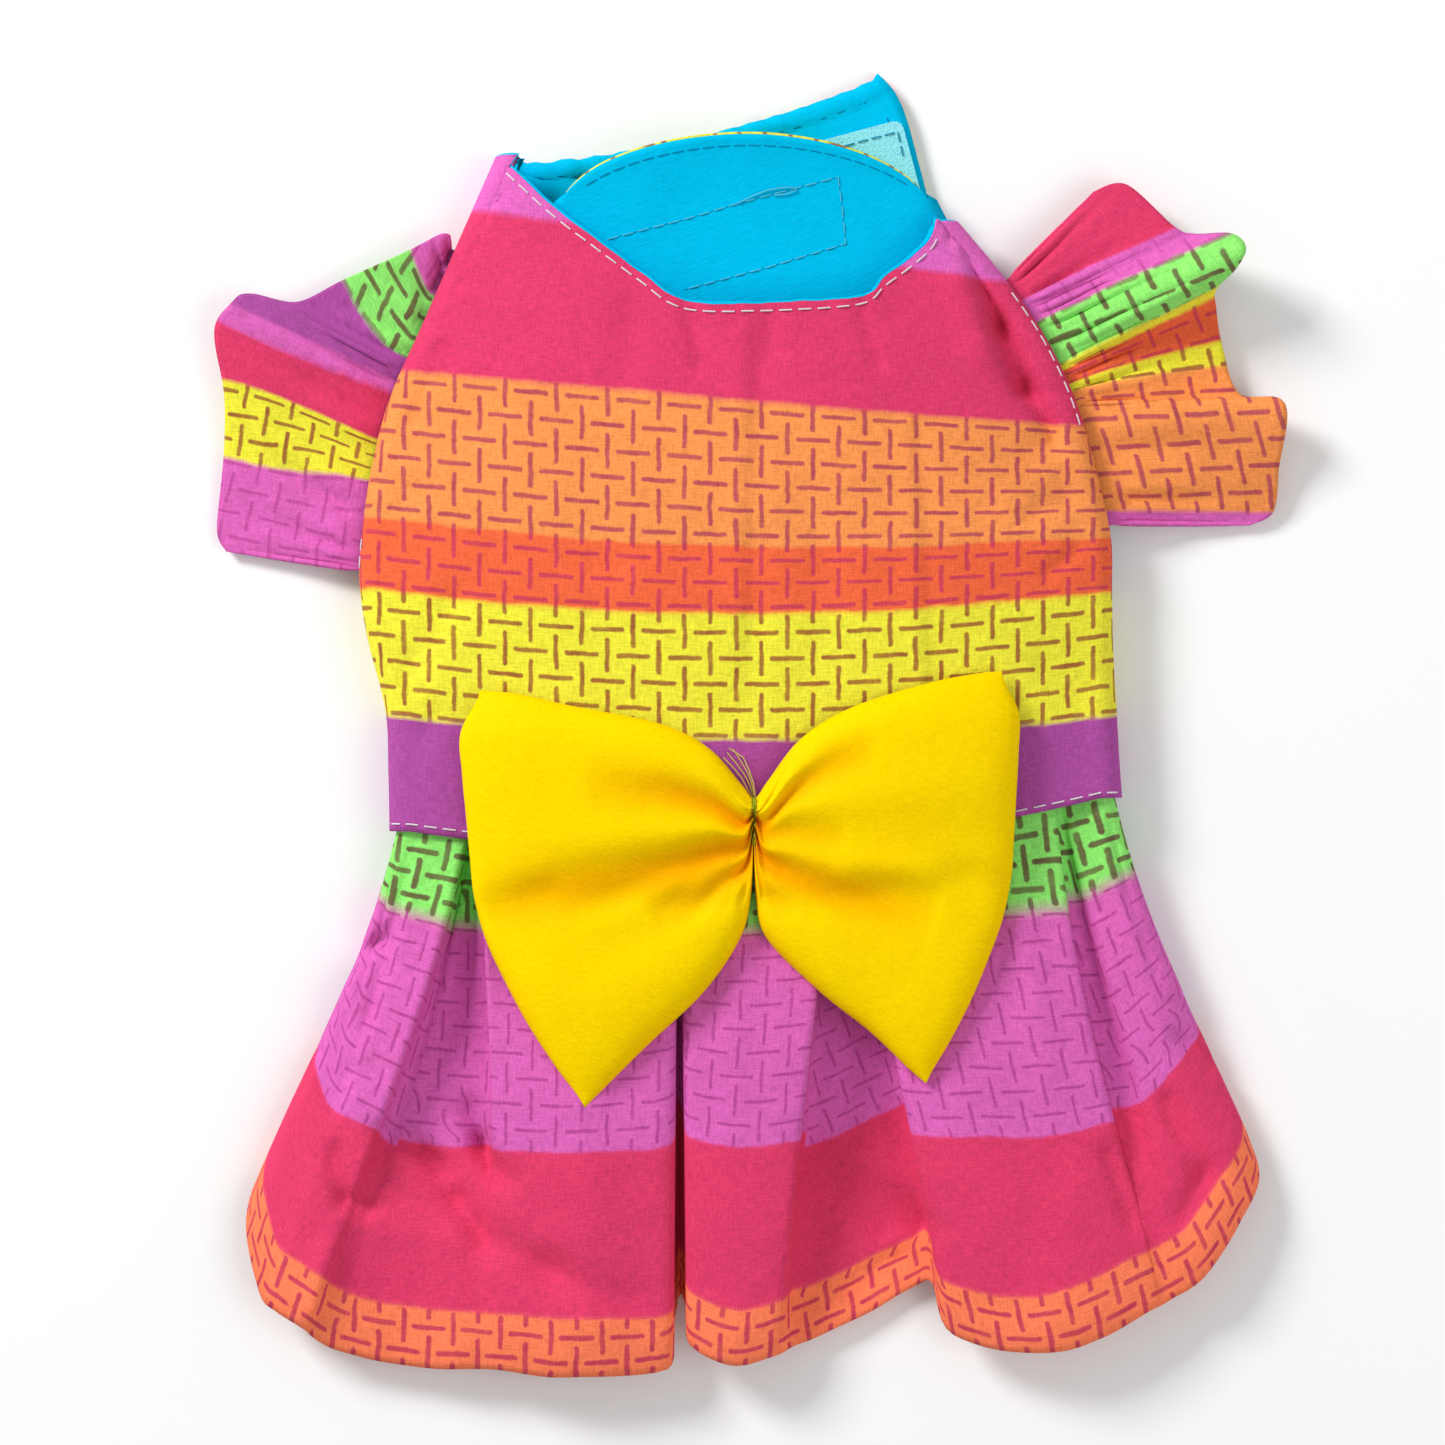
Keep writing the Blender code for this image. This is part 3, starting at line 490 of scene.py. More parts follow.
def bow_place(at, q):
    """(x, y, thickness) of the bow: at counts its sections, q runs from its lower edge up."""
    part = {name: through(column(BOW_SECTIONS, name), at) for name in BowSection._fields}
    out = through(BOW_EDGE, q * (len(BOW_EDGE) - 1))
    x = mix(part["low_x"], part["high_x"], q) + part["bulge"] * out
    y = mix(part["low_y"], part["high_y"], q)
    rounded = math.sqrt(max(0.0, 1 - (2 * q - 1) ** 6))
    thick = max(part["thick"], 0.2) * BOW_THICKNESS - crease_depth(at, q) * BOW_FOLD
    return x * BOW_WIDTH / 2 + BOW_OFFSET, y * BOW_HEIGHT, max(thick * rounded, BOW_THICKNESS / 8)


# The picture: metres to a pixel, its side in pixels, and where it shows the waist seam's middle
PIXEL = 0.000215
PICTURE = 1445
ORIGIN_X = 748.5
ORIGIN_Y = 828

# The print's dashes: their pitch, with half a dash and the shortest cut end as shares of it
DASH_PITCH = 0.00546
DASH_HALF = 0.59
STUB = 0.36

# How far the stripes' edges waver and drift, how far the dashes waver across the cloth and along
# it, and how sharp their edges are
EDGE_WAVER = 0.0009
EDGE_DRIFT = 0.0014
DASH_WAVER = 0.0009
DASH_SWAY = 0.0007
DASH_SHARPNESS = 16.0

# How the print lies on the back, in shares of the bodice's length: how far its stripes sag in the
# middle of the lower half, and how far they fall towards the right in the upper half
PRINT_SAG = 0.05
PRINT_TILT = 0.061

# The neck straps: how far down the print they are cut, the share of their width that the lining is
# turned in by, the hem's width, how far the left tip rises, and the crimps of the left hem
STRAP_PRINT = 0.105
STRAP_HEM = 0.006
STRAP_HEM_SEAM = 0.0032
TIP_RISE = 0.0015
CRIMP = 0.00065
CRIMP_PITCH = 0.0043

# The fold of lining along the neckline: how far it stands out, and its radius
RIM_BEYOND = 0.0002
RIM_RADIUS = 0.00042

# The skirt's hem: how far it curls down, and from which share of the length
HEM_CURL = 0.0014
CURL_START = 0.93

# The bow: the grid on which the height of what it lies on is found, how far round a point that
# counts, and how far the turns of thread spread
BOW_ROWS = 15
BOW_STEPS = 2
SEEN_BOW_SEARCH = 0.009
THREAD_SPREAD = 0.0005

# Soft waves of the cloth: their height and size, how fast they run along the garment against
# across it, and their place in the noise
Swell = namedtuple("Swell", "height size pace seed")
BACK_SWELLS = rows_of(Swell, (0.0006, 0.030, 1.0, 1.0), (0.00028, 0.009, 1.0, 5.0))
SKIRT_SWELLS = rows_of(Swell, (0.0008, 0.018, 0.6, 3.0), (0.0003, 0.006, 1.0, 8.0))
SLEEVE_SWELLS = rows_of(Swell, (0.0006, 0.011, 1.0, 6.0), (0.00025, 0.004, 1.0, 2.0))
BOW_SWELLS = rows_of(Swell, (0.0005, 0.022, 1.0, 11.0))
STRAP_SWELLS = rows_of(Swell, (0.0004, 0.014, 1.0, 9.0))
NECK_SWELLS = rows_of(Swell, (0.00045, 0.0045, 1.0, 7.0))

# Gathers below a seam: their height, the angle that they turn through from one fold of the table
# to the next, and the angle that they start from
Gather = namedtuple("Gather", "height turn start")
SKIRT_GATHERS = rows_of(Gather, (0.0007, 5.3, 0.7), (0.0004, 9.1, 0.0))
SLEEVE_GATHERS = rows_of(Gather, (0.0008, 7.0, 1.0), (0.0005, 12.3, 0.0))

# Stitches: the length of one, the gap after it, how high it arches and the thread's radius, then
# how finely a stitch, a thread's section and a seam are divided
Stitch = namedtuple("Stitch", "length gap lift radius")
TOPSTITCH = Stitch(0.0027, 0.0014, 0.00022, 0.00018)
SLEEVE_STITCH = Stitch(0.0024, 0.0013, 0.00022, 0.00017)
STRAP_STITCH = Stitch(0.0026, 0.0007, 0.0001, 0.00012)
LOOP_STRIP_STITCH = Stitch(0.0024, 0.0010, 0.00022, 0.00012)
HOOK_STRIP_STITCH = Stitch(0.0022, 0.0008, 0.00022, 0.00014)
STITCH_PARTS = 4
THREAD_PARTS = 2
SEAM_STEPS = 60

# The fuzz of threads and of tape: its noise, the shares of the colour that it runs between, the
# roughness and sheen, and how strong and deep its bumps are
Fuzz = namedtuple("Fuzz", "scale detail first last rough sheen strength depth")
THREAD_FUZZ = Fuzz(2500.0, 2.0, 1.0, 0.82, 0.6, 0.05, 0.3, 0.0001)
TAPE_FUZZ = Fuzz(1600.0, 4.0, 0.86, 1.0, 0.85, 0.1, 0.8, 0.0005)

# The weave's scale and how drawn out its threads are, the twill line's slope, and how soft a
# stripe's edge is
WEAVE_SCALE = 420.0
THREAD_STRETCH = 6.0
TWILL_SLOPE = 0.35
STRIPE_SOFTNESS = 0.0004

# How high threads lie on the print, on the lining, as painted groove shade and loose, a level
# above the whole garment, and how far the turns of thread reach past the bow's pinch and down
ON_CLOTH = 0.0001
ON_LINING = 0.00006
GROOVE_SHADE_LIFT = 0.00004
LOOSE_LIFT = 0.0004
ABOVE_ALL = 0.05
TURN_REACH = 0.0003
TURN_DROP = 0.0012

# Radii of the painted groove shade line and of the other threads
GROOVE_SHADE_RADIUS = 0.00007
LOOSE_RADIUS = 0.00015
TURN_RADIUS = 0.00017
YARN_RADIUS = 0.00013

# Where the seams run: the waist's row, how far below the neckline, and the share of the left strap
# where its tip is sewn across. A leg hole's seam runs on the side roll, at a turn, from a low row
# to a high one. A strap's seam runs along its hem, from a low share of its length to a high one.
WAIST_SEAM = 0.19
NECK_SEAM = 0.0027
TIP_SEAM = 0.96
SleeveSeam = namedtuple("SleeveSeam", "name side turn low high steps")
SLEEVE_SEAMS = rows_of(
    SleeveSeam,
    ("right_sleeve_stitch", 1, 0.55, 6.7, 8.9, SEAM_STEPS),
    ("left_sleeve_stitch", -1, 0.75, 4.35, 5.05, 20),
)
StrapSeam = namedtuple("StrapSeam", "name side low high")
STRAP_SEAMS = rows_of(
    StrapSeam,
    ("left_strap_stitch", -1, 0.10, 0.96),
    ("right_strap_stitch", 1, 0.08, 0.90),
)

# Stitches and yarn ends that lie where the picture shows them, in its pixels
LOOP_STRIP_SEAM = (
    (607, 239), (645, 229), (684, 219), (738, 203), (792, 189), (838, 177),
    (842, 205), (846, 243), (806, 255), (767, 267), (725, 278), (684, 289),
)
LOOSE_STITCH = (
    (738, 203), (752, 196), (768, 190), (780, 188), (792, 187), (797, 190), (786, 194), (774, 195),
)
HOOK_STRIP_SEAM = ((832, 146), (868, 136), (899, 128), (907, 165))
YARN_ENDS = (
    ((753, 796), (750, 786), (745, 775), (737, 764), (727, 752)),
    ((754, 796), (752, 785), (748, 773), (741, 761), (733, 749)),
    ((752, 797), (747, 788), (742, 778), (734, 768), (723, 757)),
    ((755, 796), (753, 782), (749, 770), (743, 757), (729, 748)),
)

# The turns of thread round the bow's pinch: where each starts and ends, as shares of the spread
THREAD_TURNS = ((-1, -0.6), (-0.2, 0.5), (0.7, -0.1), (0.3, 1.0))

# The lamps with their place, side and power, the light from all round, how white the floor is,
# and the camera's height with its lens and sensor in mm
Lamp = namedtuple("Lamp", "name place side power")
LAMPS = rows_of(
    Lamp,
    ("key", (-0.95, 0.85, 0.82), 0.45, 19.5),
    ("fill", (0.80, -0.30, 1.00), 0.90, 4.6),
)
SKY_LIGHT = 0.44
FLOOR_WHITE = 0.95
CAMERA_HEIGHT = 0.91
LENS = 104.3
SENSOR = 36.0

# How finely the seen cloth is divided
FINE_TOP = 110
FINE_ROLL = 8
FINE_FLAP = 44
FINE_ROWS = (22, 34, 34)
FINE_SKIRT_STEPS = 7
FINE_SKIRT_ROWS = 72
FINE_SLEEVE_STEPS = 9
FINE_SLEEVE_ROWS = 30
FINE_BOW_STEPS = 12
FINE_BOW_ROWS = 96
SEEN_CLOTH = 0.0010

# Where the garment stands in the frame: its own origin is the middle of the waist seam, and the
# belly strip's middle lies straight below the belly flaps' middle.
STRIP_LOW, STRIP_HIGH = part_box("belly_fastener")
STRIP_Y = (belly_flap(-1, 1, 0).y + belly_flap(-1, 1, BELLY_TOP).y) / 2
STRIP_MIDDLE = [(low + high) / 2 for low, high in zip(STRIP_LOW, STRIP_HIGH)]
SHIFT = Vector((STRIP_MIDDLE[0], STRIP_MIDDLE[1] - STRIP_Y, 0.0))

# Folds pressed into the cloth, with their depth and width in metres; a depth below 0 is a ridge.
# On the back the places are shares of half the bodice's width and of its length, on the skirt of
# half the hem's width and of the skirt's length.
Wrinkle = namedtuple("Wrinkle", "x0 y0 x1 y1 depth width")
BACK_WRINKLES = rows_of(
    Wrinkle,
    (0.625, 1.060, 0.668, 0.965, 0.0034, 0.0032),
    (0.668, 0.965, 0.735, 0.850, 0.0042, 0.0030),
    (0.735, 0.850, 0.815, 0.760, 0.0032, 0.0024),
    (0.570, 1.040, 0.630, 0.920, -0.0016, 0.0042),
    (0.740, 0.960, 0.800, 0.870, -0.0012, 0.0030),
    (-0.010, 0.940, -0.035, 0.350, -0.0006, 0.0022),
    (0.022, 0.930, 0.012, 0.250, 0.0006, 0.0030),
    (0.418, 0.764, 0.458, 0.246, -0.0007, 0.0018),
    (0.445, 0.764, 0.485, 0.246, 0.0005, 0.0026),
    (-0.165, 1.010, -0.125, 0.880, 0.0011, 0.0020),
    (-0.300, 1.060, -0.330, 0.880, 0.0007, 0.0040),
    (0.050, 1.000, 0.065, 0.900, 0.0006, 0.0016),
    (0.290, 1.010, 0.340, 0.890, 0.0010, 0.0022),
    (0.120, 0.700, 0.220, 0.450, 0.0005, 0.0050),
    (-0.450, 0.800, -0.380, 0.520, 0.0005, 0.0060),
    (-0.930, 0.260, -0.780, 0.440, 0.0010, 0.0030),
    (-0.960, 0.120, -0.820, 0.220, 0.0010, 0.0024),
    (0.960, 0.180, 0.780, 0.300, 0.0011, 0.0026),
    (0.920, 0.640, 0.740, 0.600, 0.0014, 0.0018),
    (0.930, 0.560, 0.790, 0.490, 0.0011, 0.0016),
    (0.880, 0.770, 0.740, 0.720, 0.0013, 0.0016),
    (0.930, 0.690, 0.820, 0.665, 0.0010, 0.0013),
    (0.940, 0.600, 0.850, 0.560, 0.0009, 0.0012),
    (-0.990, 0.600, -0.860, 0.640, 0.0008, 0.0020),
    (-0.980, 0.760, -0.880, 0.800, 0.0008, 0.0018),
    (-0.880, 0.960, -0.780, 0.900, 0.0008, 0.0022),
)
SKIRT_WRINKLES = rows_of(
    Wrinkle,
    (-0.643, 0.600, -0.575, 0.690, 0.0020, 0.0026),
    (-0.575, 0.690, -0.520, 0.760, 0.0025, 0.0026),
    (-0.808, 0.600, -0.789, 0.683, 0.0020, 0.0026),
    (-0.789, 0.683, -0.750, 0.702, 0.0021, 0.0022),
    (-0.720, 0.560, -0.600, 0.625, 0.0022, 0.0026),
    (-0.544, 0.520, -0.523, 0.589, 0.0031, 0.0026),
    (-0.523, 0.589, -0.485, 0.640, 0.0039, 0.0026),
    (-0.511, 0.746, -0.390, 0.815, 0.0020, 0.0040),
    (-0.390, 0.815, -0.240, 0.875, 0.0017, 0.0040),
    (-0.820, 0.780, -0.850, 0.880, -0.0014, 0.0030),
    (-0.700, 0.800, -0.640, 0.930, 0.0008, 0.0050),
    (-0.340, 0.300, -0.300, 0.900, -0.0010, 0.0060),
    (0.224, 0.663, 0.343, 0.735, 0.0042, 0.0026),
    (0.128, 0.594, 0.259, 0.731, 0.0025, 0.0028),
    (0.180, 0.860, 0.300, 0.800, 0.0015, 0.0026),
    (0.701, 0.600, 0.747, 0.725, 0.0017, 0.0022),
    (0.820, 0.506, 0.892, 0.640, 0.0019, 0.0030),
    (0.892, 0.640, 0.850, 0.715, 0.0019, 0.0028),
    (0.850, 0.320, 0.925, 0.385, 0.0024, 0.0020),
    (0.840, 0.385, 0.905, 0.440, 0.0020, 0.0020),
    (0.560, 0.650, 0.520, 0.860, 0.0010, 0.0060),
    (-0.715, 0.205, -0.790, 0.255, 0.0030, 0.0020),
    (-0.790, 0.255, -0.835, 0.340, 0.0033, 0.0020),
    (-0.835, 0.340, -0.850, 0.410, 0.0024, 0.0020),
    (-0.775, 0.300, -0.765, 0.410, -0.0020, 0.0030),
)

# Small puckers where the sleeves are sewn in: how deep, how far in from the seam and how many to
# a row of the back's table
PUCKER_DEPTH = 0.0007
PUCKER_REACH = 0.0060
PUCKERS = 2.1

# Where each column of the sleeves' tables lies across the printed cloth, in mm, at the free end
# and at the seam.
LEFT_PRINT = (
    (0.0, 0.0), (4.0, 3.0), (20.0, 10.0), (34.0, 20.0), (48.0, 44.6), (55.0, 52.0),
    (60.0, 62.0), (66.0, 73.5), (74.0, 82.0), (91.0, 94.0), (97.0, 98.0), (100.0, 100.0),
)
RIGHT_PRINT = (
    (0.0, 0.0), (4.0, 4.0), (13.0, 13.0), (26.0, 26.0), (29.0, 28.0), (39.0, 36.0),
    (47.0, 44.0), (51.0, 50.5), (56.0, 54.0), (60.0, 58.0), (62.5, 62.4), (66.0, 66.0),
    (71.0, 69.5), (88.0, 78.0), (93.0, 84.0),
)

# Colours as the screen shows them: of the print, and of the lining, bow, tape and threads
PINK = (0.85, 0.235, 0.41)
ORANGE = (0.955, 0.580, 0.315)
RED_ORANGE = (0.925, 0.400, 0.245)
LEMON = (0.920, 0.895, 0.235)
PURPLE = (0.665, 0.300, 0.610)
GREEN = (0.550, 0.900, 0.430)
MAGENTA = (0.845, 0.390, 0.710)
ROSE = (0.865, 0.240, 0.410)
CORAL = (0.990, 0.500, 0.345)
WINE = (0.690, 0.280, 0.340)
BROWN = (0.600, 0.320, 0.200)
OLIVE_BROWN = (0.390, 0.300, 0.230)
DEEP_MAGENTA = (0.660, 0.235, 0.520)
DEEP_ROSE = (0.760, 0.225, 0.345)
TURQUOISE = (0.0, 0.735, 0.905)
YELLOW = (0.99, 0.85, 0.0)
# Painted shade: the deep orange yellow that the bow turns to in its creases
CREASE_SHADE_YELLOW = (0.945, 0.63, 0.0)
TAPE = (0.60, 0.95, 1.0)
THREADS = (
    ("teal", (0.0, 0.58, 0.75)),
    ("white", (0.93, 0.90, 0.93)),
    ("pale", (0.36, 0.83, 0.93)),
    ("olive", (0.62, 0.66, 0.10)),
    ("straw", (0.86, 0.80, 0.45)),
)

# A stripe of the print: where it starts across the cloth in mm, its colour, and the colour,
# strength and half width in mm of the basket-weave dashes on it.
Stripe = namedtuple("Stripe", "start colour dash strength half")
BODY_STRIPES = rows_of(
    Stripe,
    (-20.0, PURPLE, PURPLE, 0.0, 0.5),
    (24.6, LEMON, BROWN, 0.95, 0.50),
    (51.3, RED_ORANGE, DEEP_ROSE, 0.90, 0.48),
    (66.8, ORANGE, WINE, 0.95, 0.50),
    (98.6, PINK, PINK, 0.0, 0.5),
    (136.6, MAGENTA, DEEP_MAGENTA, 0.0, 0.4),
)
SKIRT_STRIPES = rows_of(
    Stripe,
    (-20.0, GREEN, OLIVE_BROWN, 0.95, 0.66),
    (19.0, MAGENTA, DEEP_MAGENTA, 0.75, 0.34),
    (68.6, ROSE, ROSE, 0.0, 0.4),
    (103.6, CORAL, DEEP_ROSE, 0.95, 0.56),
)
LEFT_STRIPES = rows_of(
    Stripe,
    (-5.0, MAGENTA, DEEP_MAGENTA, 0.60, 0.36),
    (20.0, LEMON, BROWN, 0.95, 0.50),
    (37.6, ROSE, ROSE, 0.0, 0.4),
    (50.3, MAGENTA, DEEP_MAGENTA, 0.0, 0.4),
    (54.6, PURPLE, PURPLE, 0.0, 0.4),
    (73.5, GREEN, OLIVE_BROWN, 0.95, 0.60),
    (91.0, MAGENTA, DEEP_MAGENTA, 0.50, 0.34),
)
RIGHT_STRIPES = rows_of(
    Stripe,
    (-5.0, MAGENTA, DEEP_MAGENTA, 0.0, 0.4),
    (4.0, ORANGE, WINE, 0.95, 0.52),
    (35.0, LEMON, BROWN, 0.95, 0.50),
    (40.0, RED_ORANGE, DEEP_ROSE, 0.80, 0.46),
    (49.5, LEMON, BROWN, 0.0, 0.4),
    (52.0, GREEN, OLIVE_BROWN, 0.95, 0.60),
    (62.8, MAGENTA, DEEP_MAGENTA, 0.35, 0.34),
    (70.5, ROSE, ROSE, 0.0, 0.4),
)


def linear(colour):
    """A screen colour as the shader's light values."""
    return tuple(c / 12.92 if c <= 0.04045 else ((c + 0.055) / 1.055) ** 2.4 for c in colour)


def wave(x, y, size, seed):
    """A smooth wave from -1 to 1 over the plan."""
    return noise.noise(Vector((x / size, y / size, seed)))


def pressed(x, y, lines, wide, long):
    """How far wrinkles lower the cloth at a place; wide and long scale their table."""
    depth = 0.0
    for line in lines:
        ax, ay = line.x0 * wide, line.y0 * long
        bx, by = line.x1 * wide - ax, line.y1 * long - ay
        t = min(max(((x - ax) * bx + (y - ay) * by) / (bx * bx + by * by), 0.0), 1.0)
        off = (x - ax - t * bx) ** 2 + (y - ay - t * by) ** 2
        if off < 9 * line.width**2:
            depth += line.depth * math.exp(-off / line.width**2)
    return depth


def swell(x, y, rows):
    """The height of soft waves at a place."""
    return sum(row.height * wave(x, y * row.pace, row.size, row.seed) for row in rows)


def gathered(at, rows):
    return sum(row.height * math.sin(at * row.turn + row.start) for row in rows)


def back_relief(u, row, x, y):
    """How far the back's cloth lies above its plain dome."""
    rise = swell(x, y, BACK_SWELLS)
    rise -= pressed(x, y, BACK_WRINKLES, HALF, BODICE_LENGTH)
    seam = min(max(row - 5.0, 0.0), 1.0)
    ripple = math.sin(row * PUCKERS * math.tau) + 0.5 * math.sin(row * PUCKERS * 1.7 * math.tau)
    inside = 2 * HALF * min(u, 1 - u)
    return rise - seam * PUCKER_DEPTH * ripple * math.exp(-((inside / PUCKER_REACH) ** 2))


def hem_rows(side, s):
    """How much of a row the hem along a strap's upper edge takes up."""
    edge, inner = strap(side, s, NECK_END), strap(side, s, NECK_END - 0.5)
    return 0.5 * STRAP_HEM_SEAM / (edge - inner).length


def body_shape(place, row):
    """A point of the seen bodice."""
    zone, side, at = place
    if zone == "back":
        point = back_point(at, row)
        near_neck = max(0.0, row - NECK_END + 0.5) * 2
        hold = min(1.0, min(at, 1 - at) / 0.02)
        lift = back_relief(at, row, point.x, point.y) * hold
        point.z += max(lift, -0.0005) if near_neck > 0.9 else lift * (1 - 0.5 * near_neck)
        point.y += near_neck**2 * swell(point.x, 0.0, NECK_SWELLS) * hold
        return point
    if zone == "roll":
        return roll_point(side, at, row)
    if row <= BELLY_TOP:
        return belly_flap(side, at, row)
    point = strap(side, at, row)
    point.y += TIP_RISE * max(-side, 0) * (at * (row - ARM_TOP) / (NECK_END - ARM_TOP)) ** 2
    start = ease(min(at / 0.1, 1.0))
    point.z += (STRAP_SWELLS[0].height + swell(point.x, point.y, STRAP_SWELLS)) * start
    if side < 0:
        band = max(0.0, 1 - (NECK_END - row) / hem_rows(side, at))
        crimp = math.sin((0.55 * point.x + point.y) / CRIMP_PITCH * math.tau)
        point.z += CRIMP * (1 + crimp) * math.sin(math.pi * band) * start
    return point


def body_print(place, row, point):
    """(across, along) of a point on the printed cloth, in metres."""
    zone, side, at = place
    x, y = point.x, point.y
    if zone != "back":
        edge = back_edge(side, row)
        inner = edge[0] - side * SIDE_ROLL
        turned = at if zone == "roll" else 2.0
        arc = turned * (math.pi / 4) * (SIDE_ROLL + (edge[2] - under_level(side, row)) / 2)
        flat = 0.0 if zone == "roll" else abs(point.x - inner)
        x = inner + side * (arc + flat)
    if zone == "flap" and row > BELLY_TOP:
        return x, y - STRAP_PRINT
    share_x, share_y = point.x / HALF, y / BODICE_LENGTH
    high = max(0.0, (share_y - 0.45) / 0.35)
    sag = PRINT_SAG * (1 - min(1.0, share_x**2)) * min(1.0, max(0.0, 1 - (share_y - 0.5) / 0.35))
    tilt = PRINT_TILT * (share_x + 1) * high
    return x, (share_y + sag + tilt) * BODICE_LENGTH


def fine_columns():
    """The bodice's columns from the left free edge to the right one, as (zone, side, place)."""
    top = [("back", 0, i / FINE_TOP) for i in range(1, FINE_TOP)]
    halves = []
    for side in (-1, 1):
        over = [("roll", side, i / FINE_ROLL) for i in range(FINE_ROLL + 1)]
        under = [("roll", side, 1 + i / FINE_ROLL) for i in range(1, FINE_ROLL + 1)]
        flap = [("flap", side, i / FINE_FLAP) for i in range(1, FINE_FLAP + 1)]
        halves.append(over + under + flap)
    return halves[0][::-1] + top + halves[1]


def fine_rows(steps):
    marks = (0, BELLY_TOP, ARM_TOP, NECK_END)
    rows = [0.0]
    for low, high, count in zip(marks, marks[1:], steps):
        rows += [mix(low, high, (i + 1) / count) for i in range(count)]
    return rows


def is_over(place):
    """Whether a column lies on the back or on the upper half of a side roll."""
    zone, _, at = place
    return zone == "back" or (zone == "roll" and at <= 1)


def cloth_object(name, points, faces, prints, material, thickness, inset=0.0):
    """A sheet of cloth with its print map; prints has a place on the print for each face corner.

    The sheet is moved inward by the inset before it gets its thickness.
    """
    keys = sorted({key for face in faces for key in face})
    number = {key: i for i, key in enumerate(keys)}
    mesh = bpy.data.meshes.new(name)
    mesh.from_pydata([points[k] + SHIFT for k in keys], [], [[number[k] for k in f] for f in faces])
    layer = mesh.uv_layers.new(name="print")
    layer.data.foreach_set("uv", [value for corner in prints for value in corner])
    mesh.materials.append(material)
    mesh.shade_smooth()
    obj = bpy.data.objects.new(name, mesh)
    bpy.context.scene.collection.objects.link(obj)
    if inset:
        move = obj.modifiers.new("inside", "DISPLACE")
        move.mid_level = 0.0
        move.strength = -inset
    if thickness:
        wall = obj.modifiers.new("wall", "SOLIDIFY")
        wall.thickness = thickness
        wall.offset = 0.0
    return obj


def turned_in(place, row, hem):
    """The row that a strap's cloth reaches, where its upper edge is turned in by a share of it."""
    zone, _, at = place
    if row <= ARM_TOP or zone == "back":
        return row
    share = 1.0 if zone == "flap" else max(0.0, at - 1)
    return row - hem * share * (row - ARM_TOP)


def body_cloth(name, keep, material, thickness, inset, hem=0.0):
    """A cut of the bodice's shape, moved inward by the inset; hem is turned in at the straps."""
    places, rows = fine_columns(), fine_rows(FINE_ROWS)
    faces = []
    for j in range(len(rows) - 1):
        for i in range(len(places) - 1):
            if keep(places[i], places[i + 1], (rows[j] + rows[j + 1]) / 2):
                faces.append([(i, j), (i + 1, j), (i + 1, j + 1), (i, j + 1)])
    used = {key for face in faces for key in face}
    points, printed = {}, {}
    for i, j in used:
        row = turned_in(places[i], rows[j], hem)
        points[(i, j)] = body_shape(places[i], row)
        printed[(i, j)] = body_print(places[i], row, points[(i, j)])
    corners = [printed[key] for face in faces for key in face]
    return cloth_object(name, points, faces, corners, material, thickness, inset)


# Panels of the skirt between its pleats: the print runs on unbroken inside each. last is the
# column of the fold table where it ends, middle the one that its print follows and across where
# that lies on the print. The draws are how far the print is drawn up at half its length, at the
# panel's first column, its middle one and its last one, in metres.
Panel = namedtuple("Panel", "last middle across first_draw middle_draw last_draw")
PANELS = rows_of(
    Panel,
    (7.0, 4.0, -0.072, 0.000, 0.000, -0.002),
    (14.0, 11.0, -0.037, 0.000, 0.002, 0.007),
    (19.5, 17.0, 0.000, 0.002, 0.002, 0.002),
    (26.5, 24.0, 0.038, -0.003, 0.001, -0.007),
    (33.0, 31.0, 0.080, -0.002, -0.005, -0.010),
)


def drawn_up(first, panel, at, v):
    """How far the print of a panel that starts at the column called first is drawn up."""
    if at < panel.middle:
        draw = mix(panel.first_draw, panel.middle_draw, (at - first) / (panel.middle - first))
    else:
        past = (at - panel.middle) / (panel.last - panel.middle)
        draw = mix(panel.middle_draw, panel.last_draw, min(past, 1.0))
    return draw * math.sin(math.pi * min(max(v, 0.0) / 0.85, 1.0))


def skirt_shape(at, v):
    """A point of the seen skirt: the plain folds, with gathers below the waist and a soft hem."""
    point = skirt_point(at, v)
    if v < 0:
        return point
    fade = math.sin(min(v * 6, 1.0) * math.pi / 2)
    point.z += gathered(at, SKIRT_GATHERS) * fade * (1 - v) ** 2
    x, y = point.x, point.y
    point.z += fade * swell(x, y, SKIRT_SWELLS)
    point.z -= fade * pressed(x, y, SKIRT_WRINKLES, HEM_WIDTH / 2, -SKIRT_LENGTH)
    point.z = max(point.z, SEEN_CLOTH / 2)
    point.y += fade * v * 0.0006 * wave(x, y, 0.012, 4.0)
    curl = max(0.0, (v - CURL_START) / (1 - CURL_START))
    point.z -= curl**2 * HEM_CURL * max(through(column(SKIRT_FOLDS, "lift"), at), 0.0)
    return point


